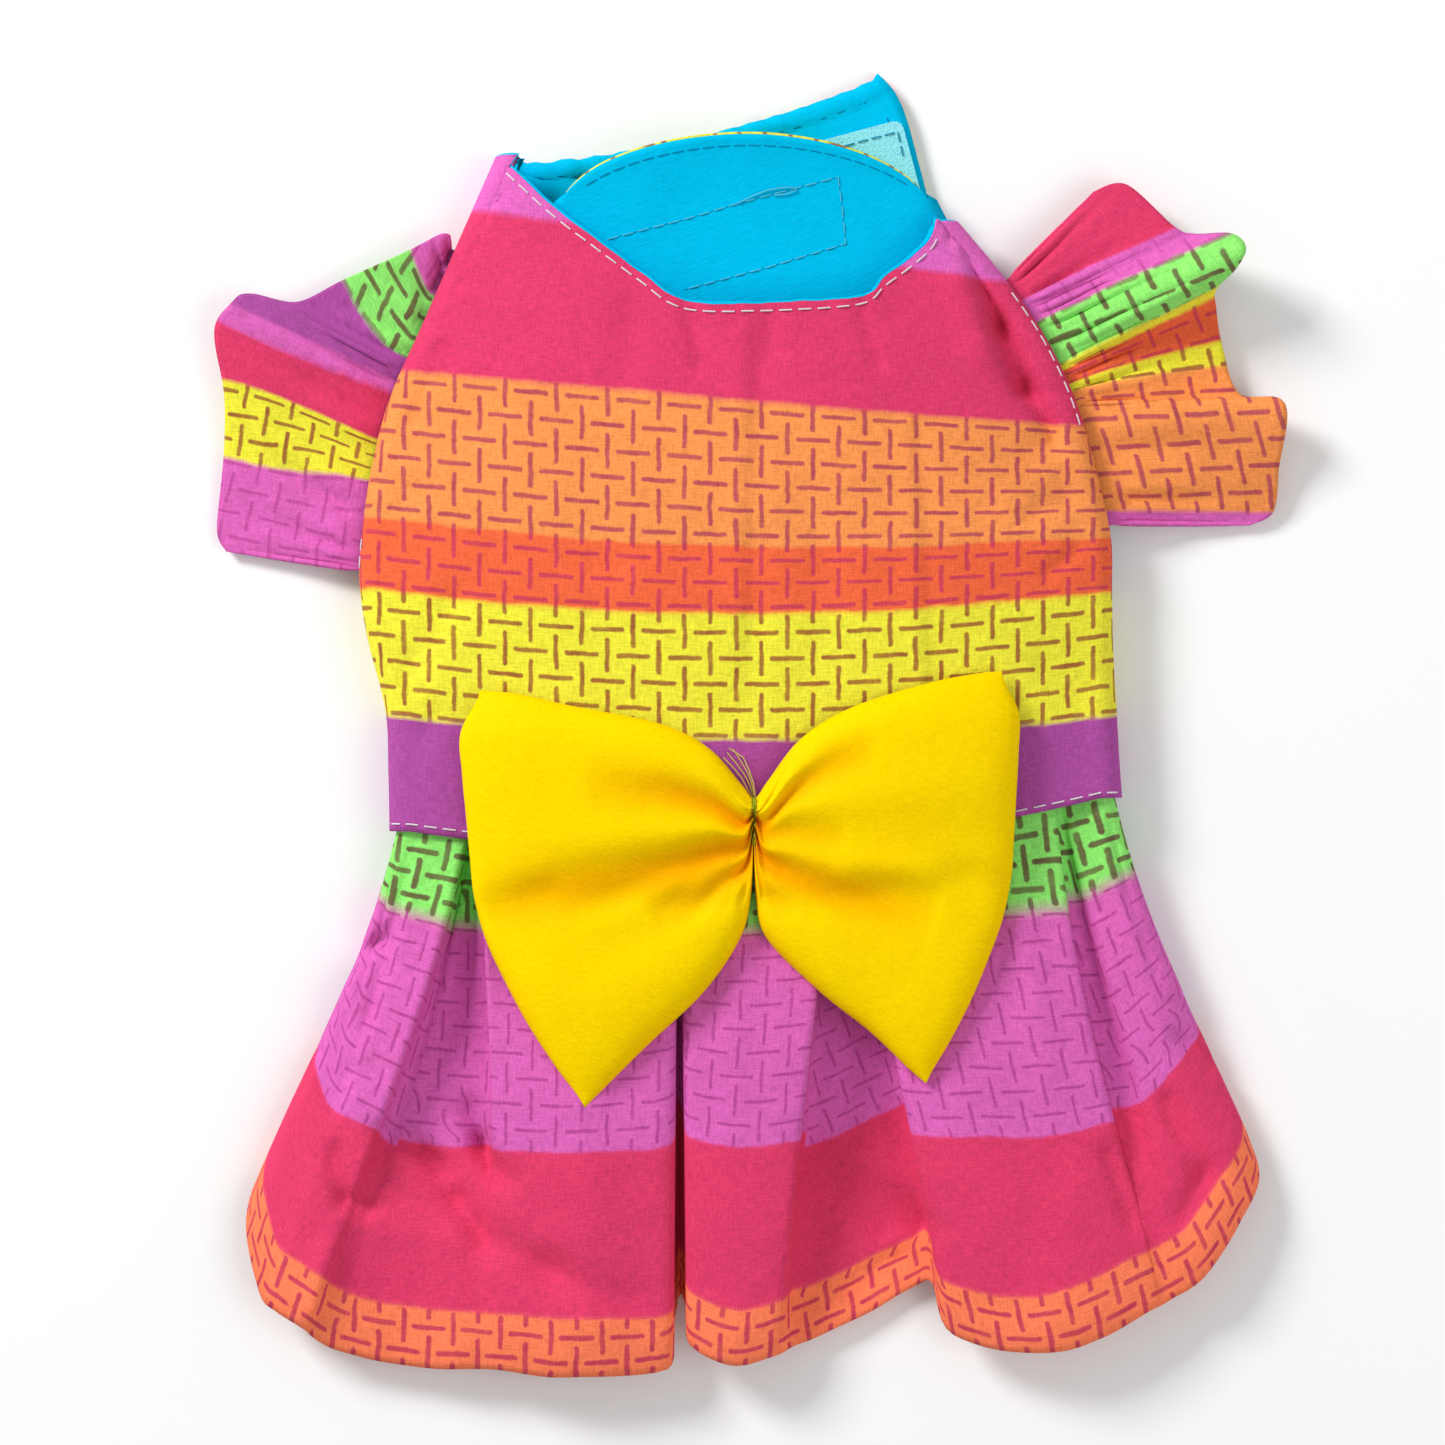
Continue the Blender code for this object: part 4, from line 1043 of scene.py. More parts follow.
def skirt_cloth(material):
    steps = (len(SKIRT_FOLDS) - 1) * FINE_SKIRT_STEPS
    rows = [-1.0] + [j / FINE_SKIRT_ROWS for j in range(FINE_SKIRT_ROWS + 1)]
    points = {}
    for i in range(steps + 1):
        for j, v in enumerate(rows):
            points[(i, j)] = skirt_shape(i / FINE_SKIRT_STEPS, v)
    run = {}
    for j in range(len(rows)):
        total = 0.0
        run[(0, j)] = 0.0
        for i in range(1, steps + 1):
            total += (points[(i, j)] - points[(i - 1, j)]).length
            run[(i, j)] = total
    faces, corners = [], []
    for i in range(steps):
        order = next(k for k, p in enumerate(PANELS) if (i + 0.5) / FINE_SKIRT_STEPS < p.last)
        panel, first = PANELS[order], PANELS[order - 1].last if order else 0.0
        middle = round(panel.middle * FINE_SKIRT_STEPS)
        for j in range(len(rows) - 1):
            face = [(i, j), (i, j + 1), (i + 1, j + 1), (i + 1, j)]
            faces.append(face)
            for a, b in face:
                along = max(rows[b], -0.035) * SKIRT_LENGTH
                along += drawn_up(first, panel, a / FINE_SKIRT_STEPS, rows[b])
                corners.append((panel.across + run[(a, b)] - run[(middle, b)], along))
    return cloth_object("skirt_cloth", points, faces, corners, material, SEEN_CLOTH)


def sleeve_shape(side, table, at, t):
    """A point of a seen sleeve: the plain folds with gathers at the seam and a soft end."""
    point = sleeve_point(side, table, at, t)
    if t < 0:
        return point
    fade = math.sin(min(t * 5, 1.0) * math.pi / 2)
    point.z += gathered(at, SLEEVE_GATHERS) * fade * (1 - t) ** 1.5
    point.z += fade * swell(point.x, point.y, SLEEVE_SWELLS)
    return point


def sleeve_cloth(name, side, table, places, material):
    steps = (len(table) - 1) * FINE_SLEEVE_STEPS
    shares = [-1.0] + [j / FINE_SLEEVE_ROWS for j in range(FINE_SLEEVE_ROWS + 1)]
    ends, seams = zip(*places)
    points, printed = {}, {}
    for i in range(steps + 1):
        at = i / FINE_SLEEVE_STEPS
        root = sleeve_shape(side, table, at, 0.0)
        end, seam = through(ends, at), through(seams, at)
        for j, t in enumerate(shares):
            point = sleeve_shape(side, table, at, t)
            points[(i, j)] = point
            out = (point - root).length * (1 if t >= 0 else -1)
            printed[(i, j)] = (out, mix(seam, end, max(t, 0.0)) / 1000)
    faces = []
    for i in range(steps):
        for j in range(len(shares) - 1):
            face = [(i, j), (i + 1, j), (i + 1, j + 1), (i, j + 1)]
            faces.append(face if side < 0 else face[::-1])
    corners = [printed[key] for face in faces for key in face]
    return cloth_object(name, points, faces, corners, material, SEEN_CLOTH)


def tree_of_node(name):
    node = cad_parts[name]
    vertices = [v.co - SHIFT for v in node.data.vertices]
    return BVHTree.FromPolygons(vertices, [tuple(p.vertices) for p in node.data.polygons])


def bow_base():
    """The height of what the bow lies on, on a coarse grid of its sections and rows."""
    trees = [tree_of_node("bodice"), tree_of_node("skirt")]
    columns = (len(BOW_SECTIONS) - 1) * BOW_STEPS
    base = []
    for i in range(columns + 1):
        line = []
        for j in range(BOW_ROWS + 1):
            x, y, _ = bow_place(i / BOW_STEPS, j / BOW_ROWS)
            line.append(height_under(trees, x, y, SEEN_BOW_SEARCH) + GAP)
        base.append(line)
    return base


def on_base(base, at, q):
    """The smooth height of the bow's underside."""
    lines = [through(line, q * BOW_ROWS) for line in base]
    return through(lines, at * BOW_STEPS)


# Fine creases of the bow's cloth: near and far are shares of the section's width, reach is how far
# they run towards the end and depth and width their size; a depth below 0 is a ridge.
BowLine = namedtuple("BowLine", "side near far reach depth width")
BOW_LINES = rows_of(
    BowLine,
    (-1, 0.70, 0.86, 0.28, 0.0011, 0.022),
    (-1, 0.53, 0.60, 0.34, 0.0011, 0.022),
    (-1, 0.36, 0.40, 0.30, 0.0010, 0.022),
    (-1, 0.19, 0.22, 0.24, 0.0008, 0.020),
    (-1, 0.90, 0.93, 0.20, 0.0008, 0.020),
    (-1, 0.55, 0.61, 0.85, -0.0015, 0.050),
    (-1, 0.30, 0.26, 0.80, 0.0013, 0.050),
    (-1, 0.80, 0.90, 0.60, -0.0010, 0.055),
    (1, 0.70, 0.90, 0.30, 0.0011, 0.022),
    (1, 0.44, 0.46, 0.28, 0.0010, 0.022),
    (1, 0.26, 0.28, 0.28, 0.0010, 0.022),
    (1, 0.90, 0.94, 0.20, 0.0008, 0.020),
    (1, 0.43, 0.45, 0.80, -0.0015, 0.045),
    (1, 0.63, 0.70, 0.90, -0.0010, 0.055),
    (1, 0.72, 0.92, 0.60, -0.0008, 0.050),
)


def bow_relief(at, q, x, y):
    middle = (len(BOW_SECTIONS) - 1) / 2
    side = -1 if at < middle else 1
    run = abs(at - middle) / middle
    rise = swell(x, y, BOW_SWELLS) * min(1.0, run * 3)
    for line in BOW_LINES:
        if line.side != side or run > line.reach:
            continue
        where = mix(line.near, line.far, ease(run / line.reach))
        fade = (1 - run / line.reach) ** 0.6
        width = line.width * mix(0.7, 1.6, run / line.reach)
        rise -= line.depth * fade * math.exp(-(((q - where) / width) ** 2))
    return rise


def bow_cloth(material):
    base = bow_base()
    columns = (len(BOW_SECTIONS) - 1) * FINE_BOW_STEPS
    points, printed, faces = {}, {}, []
    for i in range(columns + 1):
        at = i / FINE_BOW_STEPS
        for j in range(FINE_BOW_ROWS + 1):
            q = j / FINE_BOW_ROWS
            x, y, thick = bow_place(at, q)
            low = on_base(base, at, q)
            rounded = math.sqrt(max(0.0, 1 - (2 * q - 1) ** 6))
            end = min(1.0, min(i, columns - i) / (FINE_BOW_STEPS * 0.5))
            thick = mix(BOW_THICKNESS / 8, thick, math.sqrt(1 - (1 - end) ** 2))
            high = max(thick + bow_relief(at, q, x, y) * rounded * end, BOW_THICKNESS / 8)
            points[("low", i, j)] = Vector((x, y, low))
            points[("high", i, j)] = Vector((x, y, low + high))
            printed[("low", i, j)] = printed[("high", i, j)] = (x, y)
    for i in range(columns):
        for j in range(FINE_BOW_ROWS):
            cell = [(i, j), (i + 1, j), (i + 1, j + 1), (i, j + 1)]
            faces.append([("high", *c) for c in cell])
            faces.append([("low", *c) for c in cell[::-1]])
    n, m = columns, FINE_BOW_ROWS
    rim = [(i, 0) for i in range(n)] + [(n, j) for j in range(m)]
    rim += [(i, m) for i in range(n, 0, -1)] + [(0, j) for j in range(m, 0, -1)]
    for a, b in zip(rim, rim[1:] + rim[:1]):
        faces.append([("low", *a), ("low", *b), ("high", *b), ("high", *a)])
    corners = [printed[key] for face in faces for key in face]
    bow = cloth_object("bow_cloth", points, faces, corners, material, 0.0)
    # A second map holds how deep the creases are, for the painted shade in them
    creased = bow.data.uv_layers.new(name="creased")
    deep = []
    for face in faces:
        for key in face:
            deep += [min(crease_depth(key[1] / FINE_BOW_STEPS, key[2] / FINE_BOW_ROWS), 1.0), 0.0]
    creased.data.foreach_set("uv", deep)
    return bow


class Value:
    """A value inside a material, reckoned with like a number."""

    def __init__(self, net, socket):
        self.net, self.socket = net, socket

    def __add__(self, other):
        return self.net.math("ADD", self, other)

    def __sub__(self, other):
        return self.net.math("SUBTRACT", self, other)

    def __rsub__(self, other):
        return self.net.math("SUBTRACT", other, self)

    def __mul__(self, other):
        return self.net.math("MULTIPLY", self, other)

    def __truediv__(self, other):
        return self.net.math("DIVIDE", self, other)

    def scaled(self, by, base, clamp=False):
        """The value times a number, plus a base."""
        return self.net.math("MULTIPLY_ADD", self, by, base, clamp)


class Net:
    """Makes shader nodes of one material and joins them."""

    def __init__(self, name):
        self.material = bpy.data.materials.new(name)
        self.material.use_nodes = True
        self.tree = self.material.node_tree
        self.shader = self.tree.nodes["Principled BSDF"]

    def put(self, socket, value):
        if isinstance(value, Value):
            self.tree.links.new(value.socket, socket)
        elif isinstance(value, tuple):
            socket.default_value = (*value, 1.0)[: len(socket.default_value)]
        else:
            socket.default_value = value

    def math(self, operation, a, b=0.0, c=0.0, clamp=False):
        node = self.tree.nodes.new("ShaderNodeMath")
        node.operation = operation
        node.use_clamp = clamp
        for socket, value in zip(node.inputs, (a, b, c)):
            self.put(socket, value)
        return Value(self, node.outputs[0])

    def mixed(self, factor, a, b, blend="MIX"):
        node = self.tree.nodes.new("ShaderNodeMix")
        node.data_type = "RGBA"
        node.blend_type = blend
        for index, value in ((0, factor), (6, a), (7, b)):
            self.put(node.inputs[index], value)
        return Value(self, node.outputs[2])

    def shaded(self, colour, shade):
        """A colour made darker or lighter by a shade around 1."""
        grey = self.tree.nodes.new("ShaderNodeCombineColor")
        for socket in grey.inputs:
            self.put(socket, shade)
        return self.mixed(1.0, colour, Value(self, grey.outputs[0]), "MULTIPLY")

    def map(self, name):
        node = self.tree.nodes.new("ShaderNodeUVMap")
        node.uv_map = name
        split = self.tree.nodes.new("ShaderNodeSeparateXYZ")
        self.tree.links.new(node.outputs[0], split.inputs[0])
        return Value(self, split.outputs[0]), Value(self, split.outputs[1])

    def noise_at(self, place, scale, detail, rough=0.5):
        node = self.tree.nodes.new("ShaderNodeTexNoise")
        self.tree.links.new(place, node.inputs["Vector"])
        for word, value in (("Scale", scale), ("Detail", detail), ("Roughness", rough)):
            self.put(node.inputs[word], value)
        return Value(self, node.outputs[0])

    def noise(self, x, y, scale, detail=2.0, rough=0.5):
        """Noise over the cloth, from 0 to 1; x and y may be stretched beforehand."""
        join = self.tree.nodes.new("ShaderNodeCombineXYZ")
        self.put(join.inputs[0], x)
        self.put(join.inputs[1], y)
        return self.noise_at(join.outputs[0], scale, detail, rough)

    def ramp(self, factor, stops):
        node = self.tree.nodes.new("ShaderNodeValToRGB")
        line = node.color_ramp
        line.interpolation = "LINEAR"
        while len(line.elements) < len(stops):
            line.elements.new(1.0)
        for element, (place, colour) in zip(line.elements, stops):
            element.position = place
            element.color = (*colour, 1.0)
        self.put(node.inputs[0], factor)
        return Value(self, node.outputs[0])

    def bump(self, height, strength, distance, before=None):
        node = self.tree.nodes.new("ShaderNodeBump")
        self.put(node.inputs["Strength"], strength)
        self.put(node.inputs["Distance"], distance)
        self.put(node.inputs["Height"], height)
        if before is not None:
            self.put(node.inputs["Normal"], before)
        return Value(self, node.outputs[0])

    def finish(self, colour, roughness, sheen, normal=None, shine=0.04):
        looks = {
            "Base Color": colour,
            "Roughness": roughness,
            "Sheen Weight": sheen,
            "Sheen Roughness": 0.5,
            "Specular IOR Level": shine,
        }
        if normal is not None:
            looks["Normal"] = normal
        for word, value in looks.items():
            self.put(self.shader.inputs[word], value)
        return self.material


def threads(net, x, y):
    """The height of a plain weave with uneven threads, and that of its weft alone."""
    warp = net.noise(x * THREAD_STRETCH, y, WEAVE_SCALE)
    weft = net.noise(x, y * THREAD_STRETCH, WEAVE_SCALE)
    return warp + weft, weft


def stripe_ramps(net, place, stripes, low, high, fuzz):
    """Reads the stripes at a place: colour, dash colour, dash strength and dash width."""
    soft = STRIPE_SOFTNESS / (high - low)
    base, dash, mark, half = [], [], [], []
    before_one = None
    for stripe in stripes:
        at = max((stripe.start / 1000 - low) / (high - low), 0.0)
        if before_one is not None:
            blur = soft * (fuzz if GREEN in (before_one.colour, stripe.colour) else 1.0)
            base.append((at - blur, linear(before_one.colour)))
            base.append((at + blur, linear(stripe.colour)))
            dash.append((at - soft, linear(before_one.dash)))
            mark.append((at - soft, (before_one.strength,) * 3))
            half.append((at - soft, (before_one.half / 1000 / DASH_PITCH,) * 3))
        else:
            base.append((at, linear(stripe.colour)))
        dash.append((at + soft, linear(stripe.dash)))
        mark.append((at + soft, (stripe.strength,) * 3))
        half.append((at + soft, (stripe.half / 1000 / DASH_PITCH,) * 3))
        before_one = stripe
    return [net.ramp(place, stops) for stops in (base, dash, mark, half)], mark


def print_material(name, stripes, phase=0.0, fuzz=1.0):
    """Printed cotton: stripes across the cloth, with a basket weave of dashes on some of them."""
    net = Net(name)
    x, y = net.map("print")
    low, high = stripes[0].start / 1000, stripes[-1].start / 1000 + 0.06
    waver = net.noise(x, y, 260.0, 3.0) - 0.5
    slow = net.noise(x, y, 45.0, 1.0) - 0.5
    edge = waver * EDGE_WAVER + slow * EDGE_DRIFT

    def share(along):
        return (along - low) / (high - low)

    ramps, strengths = stripe_ramps(net, share(y + edge), stripes, low, high, fuzz)
    base, dash, mark, half = ramps
    u = (x + waver * DASH_WAVER) / DASH_PITCH
    v = (y + waver * -DASH_SWAY) / DASH_PITCH + phase
    cell_u, cell_v = net.math("FLOOR", u), net.math("FLOOR", v)
    off_v = v - cell_v - 0.5
    a = net.math("ABSOLUTE", u - cell_u - 0.5)
    b = net.math("ABSOLUTE", off_v)
    odd = net.math("FRACT", (cell_u + cell_v) * 0.5) * 2.0
    even = 1.0 - odd

    def distance(own, other, inside_where, outside_where):
        """How far a place is from the nearest dash that runs along its own direction."""
        inside = net.math("MAXIMUM", own - DASH_HALF, 0.0)
        outside = net.math("MAXIMUM", (1 - DASH_HALF) - own, 0.0)
        past = inside * inside_where + outside * outside_where
        return net.math("SQRT", past * past + other * other)

    def allowed(centre):
        """The strength of the stripe that a dash's middle lies on."""
        return net.ramp(share((centre - phase) * DASH_PITCH), strengths)

    level_mid = cell_v + 0.5
    upright_mid = level_mid + even * net.math("SIGN", off_v)
    stub_mid = upright_mid + net.math("SIGN", v - upright_mid) * STUB
    uprights = net.math("MAXIMUM", allowed(upright_mid), allowed(stub_mid))
    rough_edge = (net.noise(x, y, 900.0) - 0.5) * 0.05
    shown = []
    for near, strength in (
        (distance(a, b, even, odd), allowed(level_mid)),
        (distance(b, a, odd, even), uprights),
    ):
        ink = (half - (near + rough_edge)).scaled(DASH_SHARPNESS, 0.5, clamp=True)
        shown.append(ink * strength)
    inked = net.math("MAXIMUM", *shown) * net.math("MINIMUM", mark * 3.0, 1.0)
    patchy = net.noise(x, y, 170.0, 3.0).scaled(0.5, 0.66, clamp=True)
    colour = net.mixed(inked * patchy, base, dash)

    weave, weft = threads(net, x, y)
    cloud = net.noise(x, y, 60.0, 3.0).scaled(0.18, 0.91)
    speck = net.noise(x, y, 1500.0, 1.0).scaled(0.14, 0.93)
    colour = net.shaded(colour, (weave - 1.0).scaled(0.55, 1.0) * cloud * speck)
    normal = net.bump(net.noise(x, y, 110.0, 3.0, 0.55), 0.45, 0.0012)
    normal = net.bump(weave, 0.35, 0.0002, normal)
    return net.finish(colour, weft.scaled(0.15, 0.80), 0.04, normal)


def twill_material(name, colour, roughness, contrast, line_size, deep=None):
    """Plain dyed cloth with a fine slanting twill line; deep is the painted shade colour that it
    turns to in the creases.
    """
    net = Net(name)
    x, y = net.map("print")
    slant = x * TWILL_SLOPE + y
    cross = x - y * TWILL_SLOPE
    line = net.noise(slant * 9.0, cross, line_size, 1.0)
    weave = net.noise(x, y, 1100.0)
    cloud = net.noise(x, y, 50.0, 3.0)
    shade = (line - 0.5).scaled(contrast, 1.0) * cloud.scaled(0.14, 0.93)
    seen = linear(colour)
    if deep is not None:
        # Painted shade: the colour turns towards deep where the bow's creases are deep, and a
        # random mottle of tone is mixed in on top
        crease_shade_and_mottle = net.map("creased")[0] * 1.15 + cloud * 0.45
        seen = net.mixed(net.math("SUBTRACT", crease_shade_and_mottle, 0.14, clamp=True), seen, linear(deep))
    seen = net.shaded(seen, shade * weave.scaled(0.16, 0.92))
    normal = net.bump(net.noise(x, y, 130.0, 3.0), 0.25, 0.0012)
    normal = net.bump(line + weave, 0.35, 0.00018, normal)
    return net.finish(seen, roughness, 0.0, normal, 0.02)


def fuzzy_material(name, colour, fuzz):
    """Thread or tape with fine fibres."""
    net = Net(name)
    place = net.tree.nodes.new("ShaderNodeTexCoord").outputs["Object"]
    fibre = net.noise_at(place, fuzz.scale, fuzz.detail)
    first, last = [linear(tuple(c * part for c in colour)) for part in (fuzz.first, fuzz.last)]
    bumps = net.bump(fibre, fuzz.strength, fuzz.depth)
    return net.finish(net.mixed(fibre, first, last), fuzz.rough, fuzz.sheen, bumps)


def tube(name, lines, radius, material):
    """Threads along lines of points, in one object made a mesh."""
    curve = bpy.data.curves.new(name, "CURVE")
    curve.dimensions = "3D"
    curve.bevel_depth = radius
    curve.bevel_resolution = THREAD_PARTS
    curve.use_fill_caps = True
    for line in lines:
        spline = curve.splines.new("POLY")
        spline.points.add(len(line) - 1)
        for point, place in zip(spline.points, line):
            point.co = (*(place + SHIFT), 1.0)
    guide = bpy.data.objects.new(name + "_guide", curve)
    mesh = bpy.data.meshes.new_from_object(guide)
    bpy.data.objects.remove(guide)
    bpy.data.curves.remove(curve)
    mesh.materials.clear()
    mesh.materials.append(material)
    mesh.shade_smooth()
    obj = bpy.data.objects.new(name, mesh)
    bpy.context.scene.collection.objects.link(obj)
    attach(obj, "root")
    return obj


def stitched(path, stitch):
    """Short arched stitches along a line of points."""
    lengths = [0.0]
    for a, b in zip(path, path[1:]):
        lengths.append(lengths[-1] + (b - a).length)

    def spot(distance):
        for i in range(len(path) - 1):
            if lengths[i + 1] >= distance:
                span = lengths[i + 1] - lengths[i]
                return path[i].lerp(path[i + 1], (distance - lengths[i]) / max(span, 1e-9))
        return path[-1].copy()

    lines, start = [], 0.0
    while start + stitch.length < lengths[-1]:
        line = []
        for k in range(STITCH_PARTS + 1):
            point = spot(start + stitch.length * k / STITCH_PARTS)
            point.z += stitch.lift * math.sin(math.pi * k / STITCH_PARTS)
            line.append(point)
        lines.append(line)
        start += stitch.length + stitch.gap
    return lines


def sew(name, path, stitch, material):
    tube(name, stitched(path, stitch), stitch.radius, material)


def pixel(px, py, z):
    """A place in the garment's plan from where it shows in the picture."""
    return Vector(((px - ORIGIN_X) * PIXEL, (ORIGIN_Y - py) * PIXEL, z))


def back_path(places):
    """A line on the outside of the bodice, from (zone, side, place, row)."""
    line = []
    for zone, side, at, row in places:
        angle = 0.0 if zone == "back" else at * math.pi / 2
        outward = Vector((side * math.sin(angle), 0, math.cos(angle)))
        point = body_shape((zone, side, at), row)
        line.append(point + outward * (SEEN_CLOTH / 2 + ON_CLOTH))
    return line


def near_neck(distance):
    """The line that runs that far below the neckline on the outside of the back."""
    line = []
    for i in range(121):
        u = 0.005 + 0.99 * i / 120
        top = back_plan(u, NECK_END)
        low = back_plan(u, NECK_END - 1)
        row = NECK_END - min(0.9, distance / max((top - low).length, 1e-6))
        line.append(("back", 0, u, row))
    return back_path(line)


def surface_of(obj):
    """A search tree of a finished object, in the frame."""
    bpy.context.view_layer.update()
    return BVHTree.FromObject(obj, bpy.context.evaluated_depsgraph_get())


def settled(path, tree, top, lift):
    """The same line laid on a surface that lies below the level called top."""
    line = []
    for point in path:
        hit = tree.ray_cast(Vector((point.x, point.y, top)) + SHIFT, Vector((0, 0, -1)))[0]
        if hit is not None:
            line.append(Vector((point.x, point.y, hit.z + lift)))
    return line


def dense(path, steps=8):
    """A line of points with more points between them."""
    line = []
    for a, b in zip(path, path[1:]):
        line += [a.lerp(b, k / steps) for k in range(steps)]
    return line + [path[-1]]


def shown_at(places):
    return [pixel(x, y, 0.0) for x, y in places]


def seam_threads(white):
    """The white topstitching of the waist, the neckline and the leg holes."""
    waist = [("back", 0, i / 150, WAIST_SEAM) for i in range(151)]
    left, right = [
        [("roll", side, turn / 8, WAIST_SEAM) for turn in range(9)] for side in (-1, 1)
    ]
    sew("waist_topstitch", back_path(left[::-1] + waist + right), TOPSTITCH, white)
    sew("neck_topstitch", near_neck(NECK_SEAM), TOPSTITCH, white)
    for seam in SLEEVE_SEAMS:
        rows = [mix(seam.low, seam.high, i / seam.steps) for i in range(seam.steps + 1)]
        path = [("roll", seam.side, seam.turn, row) for row in rows]
        sew(seam.name, back_path(path), SLEEVE_STITCH, white)


def strap_line(side, low, high):
    """The line that a strap's hem is sewn along, between two shares of its length."""
    shares = [mix(low, high, i / SEAM_STEPS) for i in range(SEAM_STEPS + 1)]
    return [on_lining(side, s, NECK_END - hem_rows(side, s)) for s in shares]


def on_lining(side, s, row):
    point = body_shape(("flap", side, s), row)
    return point + Vector((0, 0, CLOTH / 2 + GAP + LINING + ON_LINING))


def lining_threads(lining, teal, pale):
    """The stitches of the neck straps, seen on their lining."""
    for seam in STRAP_SEAMS:
        sew(seam.name, strap_line(seam.side, seam.low, seam.high), STRAP_STITCH, teal)
    tip = [on_lining(-1, TIP_SEAM, NECK_END - 0.2 - 0.9 * k / 20) for k in range(21)]
    sew("left_tip_stitch", tip, STRAP_STITCH, teal)
    cloth = surface_of(lining)
    box = settled(dense(shown_at(LOOP_STRIP_SEAM)), cloth, SIDE_HEIGHT, GROOVE_SHADE_LIFT)
    # A thin unbroken teal line along the seam, darker than the lining: painted shade for the seam's
    # groove
    tube("loop_strip_groove", [box], GROOVE_SHADE_RADIUS, teal)
    sew("loop_strip_stitch", box, LOOP_STRIP_STITCH, pale)
    loose = settled(shown_at(LOOSE_STITCH), cloth, SIDE_HEIGHT, LOOSE_LIFT)
    tube("loose_stitch", [loose], LOOSE_RADIUS, pale)


def neck_rim(material):
    """The fold of the lining that shows beyond the neckline."""
    turns = [k / 8 for k in range(15)]
    places = [("roll", -1, turn) for turn in turns[::-1]]
    places += [("back", 0, 0.004 + 0.992 * i / 120) for i in range(121)]
    places += [("roll", 1, turn) for turn in turns]
    line = []
    for place in places:
        point = body_shape(place, NECK_END)
        away = point - body_shape(place, NECK_END - 0.6)
        away = Vector((away.x, away.y, 0.0)).normalized()
        line.append(point + away * RIM_BEYOND - Vector((0, 0, SEEN_CLOTH / 3)))
    tube("neck_rim", [line], RIM_RADIUS, material)


def bow_threads(bow, olive, straw):
    """The turns of thread round the bow's pinch, and the loose ends of the yarn above it."""
    cloth = surface_of(bow)
    middle = (len(BOW_SECTIONS) - 1) / 2
    low, high = bow_place(middle, 0), bow_place(middle, 1)
    turns = []
    for k, (start, end) in enumerate(THREAD_TURNS):
        line = []
        for j in range(25):
            x = low[0] + mix(start, end, j / 24) * THREAD_SPREAD
            line.append(Vector((x, mix(low[1] - 0.0002, high[1] + 0.0002, j / 24), 0.0)))
        line = settled(line, cloth, ABOVE_ALL, 0.00012 + 0.00005 * k)
        first = line[0] - Vector((0, TURN_REACH, TURN_DROP))
        last = line[-1] + Vector((0, TURN_REACH, -TURN_DROP))
        turns.append([first, *line, last])
    tied = tube("bow_thread_turns", turns, TURN_RADIUS, olive)
    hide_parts("bow_thread")
    back = surface_of(bpy.data.objects["bodice_cloth"])
    fibres = [
        settled(dense(shown_at(places), 4), back, ABOVE_ALL, 0.0006 + 0.0003 * k)
        for k, places in enumerate(YARN_ENDS)
    ]
    tube("loose_yarn", fibres, YARN_RADIUS, straw)


def stand():
    """The floor, the light and the camera of the picture."""
    scene = bpy.context.scene
    bpy.ops.mesh.primitive_plane_add(size=6.0, location=(0, 0, -0.0002))
    floor = bpy.context.object
    floor.name = "floor"
    floor.data.materials.append(Net("floor_paper").finish((FLOOR_WHITE,) * 3, 0.9, 0.0))
    world = bpy.data.worlds.new("studio")
    scene.world = world
    world.use_nodes = True
    back = world.node_tree.nodes["Background"]
    back.inputs[0].default_value = (1.0, 1.0, 1.0, 1.0)
    back.inputs[1].default_value = SKY_LIGHT
    for lamp in LAMPS:
        light = bpy.data.lights.new(lamp.name, "AREA")
        light.size = lamp.side
        light.energy = lamp.power
        hung = bpy.data.objects.new(lamp.name, light)
        scene.collection.objects.link(hung)
        hung.location = lamp.place
        hung.rotation_euler = (-Vector(lamp.place)).to_track_quat("-Z", "Y").to_euler()
    eye = bpy.data.cameras.new("camera")
    eye.lens = LENS
    eye.sensor_width = SENSOR
    eye.clip_start = 0.01
    camera = bpy.data.objects.new("camera", eye)
    scene.collection.objects.link(camera)
    camera.location = pixel(PICTURE / 2, PICTURE / 2, CAMERA_HEIGHT) + SHIFT
    scene.camera = camera
    scene.view_settings.view_transform = "Standard"
    scene.view_settings.look = "None"


def keep_bodice(a, b, row):
    return (is_over(a) and is_over(b)) or row < BELLY_TOP or row > ARM_TOP


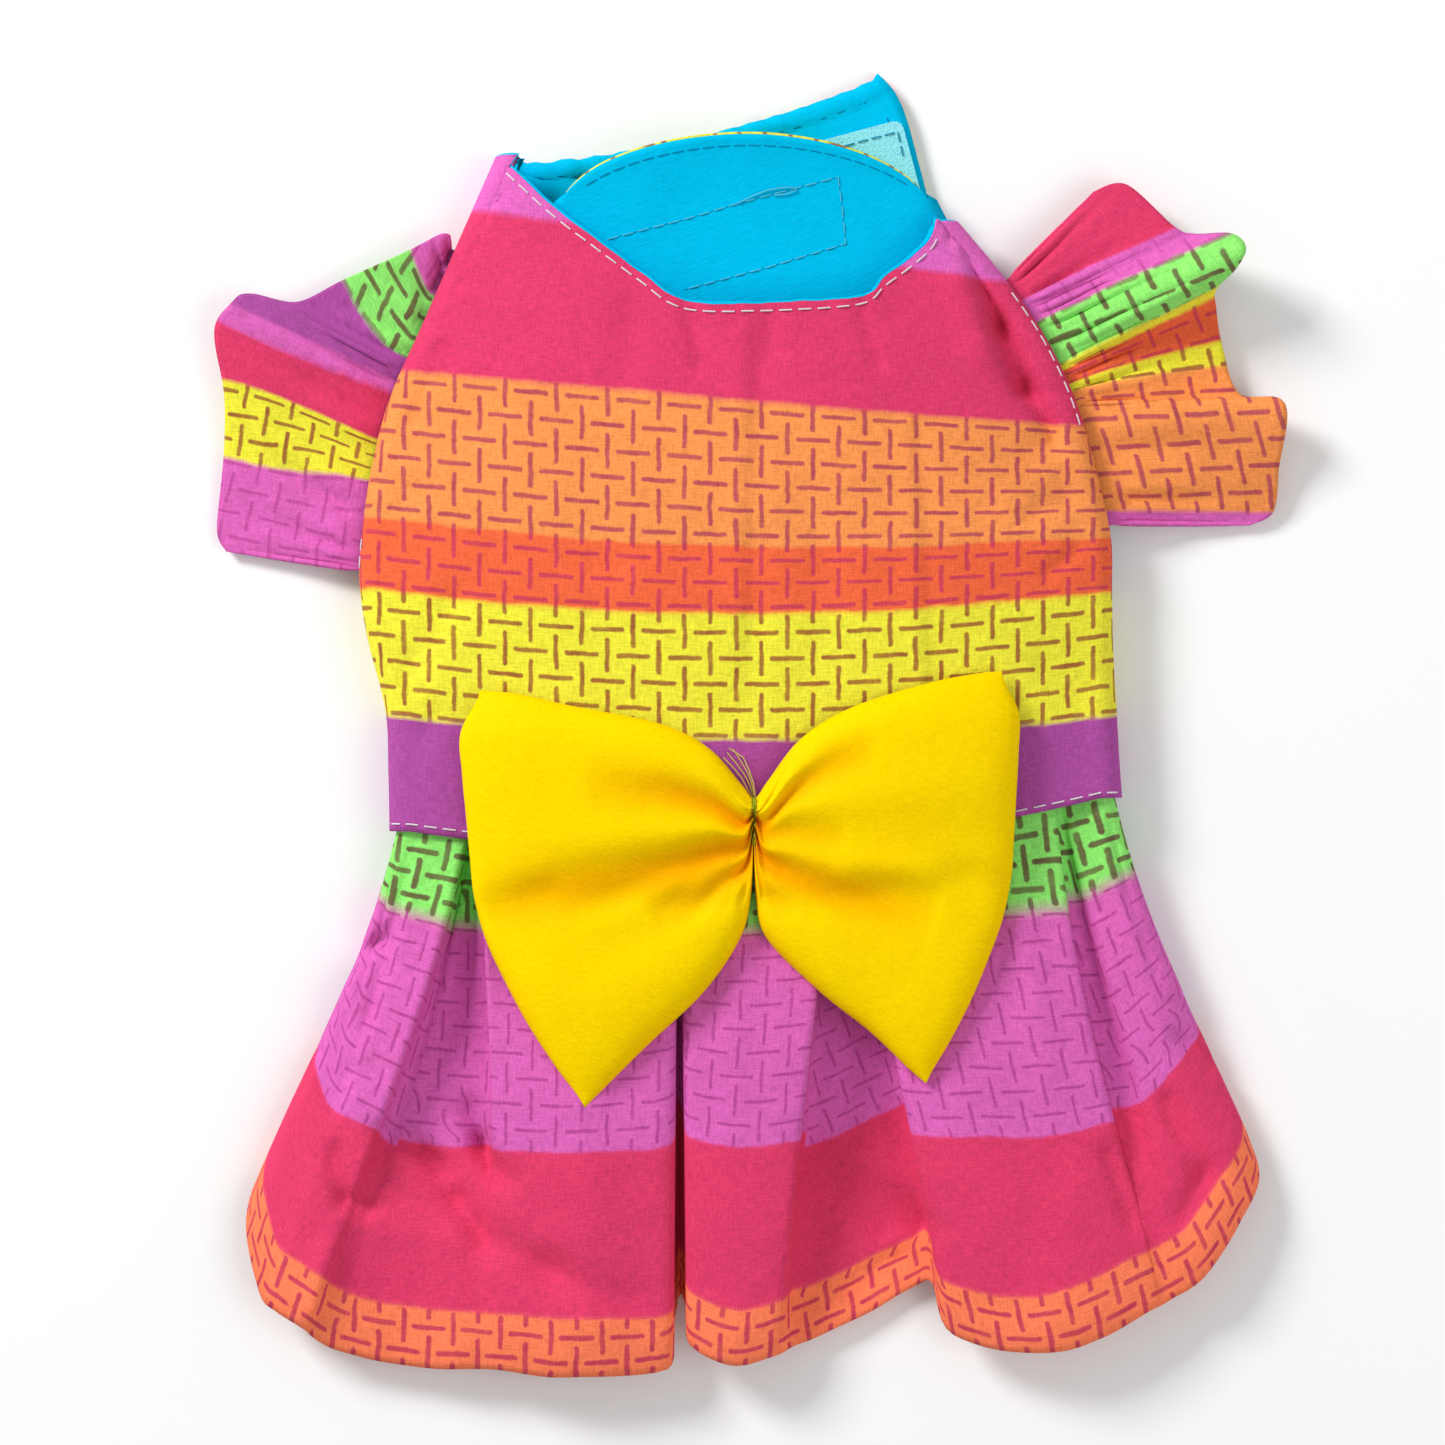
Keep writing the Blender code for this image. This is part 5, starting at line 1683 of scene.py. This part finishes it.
def keep_lining(a, b, row):
    return row > 1 and ((is_over(a) and is_over(b)) or row > ARM_TOP)


def stand_for(made, node):
    """Makes a piece ride the body and take the place of its solid."""
    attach(made, "root")
    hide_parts(node)


def dress_up():
    cotton = print_material("printed_cotton", BODY_STRIPES, -0.17)
    bodice = body_cloth("bodice_cloth", keep_bodice, cotton, SEEN_CLOTH, 0.0)
    stand_for(bodice, "bodice")

    turquoise = twill_material("lining_cotton", TURQUOISE, 0.75, 0.22, 260.0)
    inset = CLOTH / 2 + GAP + LINING / 2
    lining = body_cloth("lining_cloth", keep_lining, turquoise, LINING, inset, STRAP_HEM)
    stand_for(lining, "lining")

    skirt = skirt_cloth(print_material("skirt_cotton", SKIRT_STRIPES, -0.23, 5.0))
    stand_for(skirt, "skirt")

    for name, side, folds, places, stripes in (
        ("sleeve_left", -1, LEFT_SLEEVE, LEFT_PRINT, LEFT_STRIPES),
        ("sleeve_right", 1, RIGHT_SLEEVE, RIGHT_PRINT, RIGHT_STRIPES),
    ):
        material = print_material(name + "_cotton", stripes)
        made = sleeve_cloth(name + "_cloth", side, folds, places, material)
        stand_for(made, name)

    # The bow's twill, with painted shade in its creases
    bow = bow_cloth(twill_material("bow_twill", YELLOW, 0.6, 0.20, 300.0, CREASE_SHADE_YELLOW))
    stand_for(bow, "bow")

    tape = fuzzy_material("hook_and_loop", TAPE, TAPE_FUZZ)
    for name in ("neck_hook_strip", "neck_loop_strip", "belly_fastener"):
        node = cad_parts[name]
        node.data.materials.clear()
        node.data.materials.append(tape)

    teal, white, pale, olive, straw = [
        fuzzy_material(name + "_thread", colour, THREAD_FUZZ) for name, colour in THREADS
    ]
    seam_threads(white)
    lining_threads(lining, teal, pale)
    neck_rim(turquoise)
    bow_threads(bow, olive, straw)
    top = LEFT_LEVEL + CLOTH / 2 + LINING + 2 * GAP + FASTENER + ON_CLOTH
    around = [pixel(x, y, top) for x, y in HOOK_STRIP_SEAM]
    sew("hook_strip_stitch", dense(around), HOOK_STRIP_STITCH, teal)


stand()
dress_up()
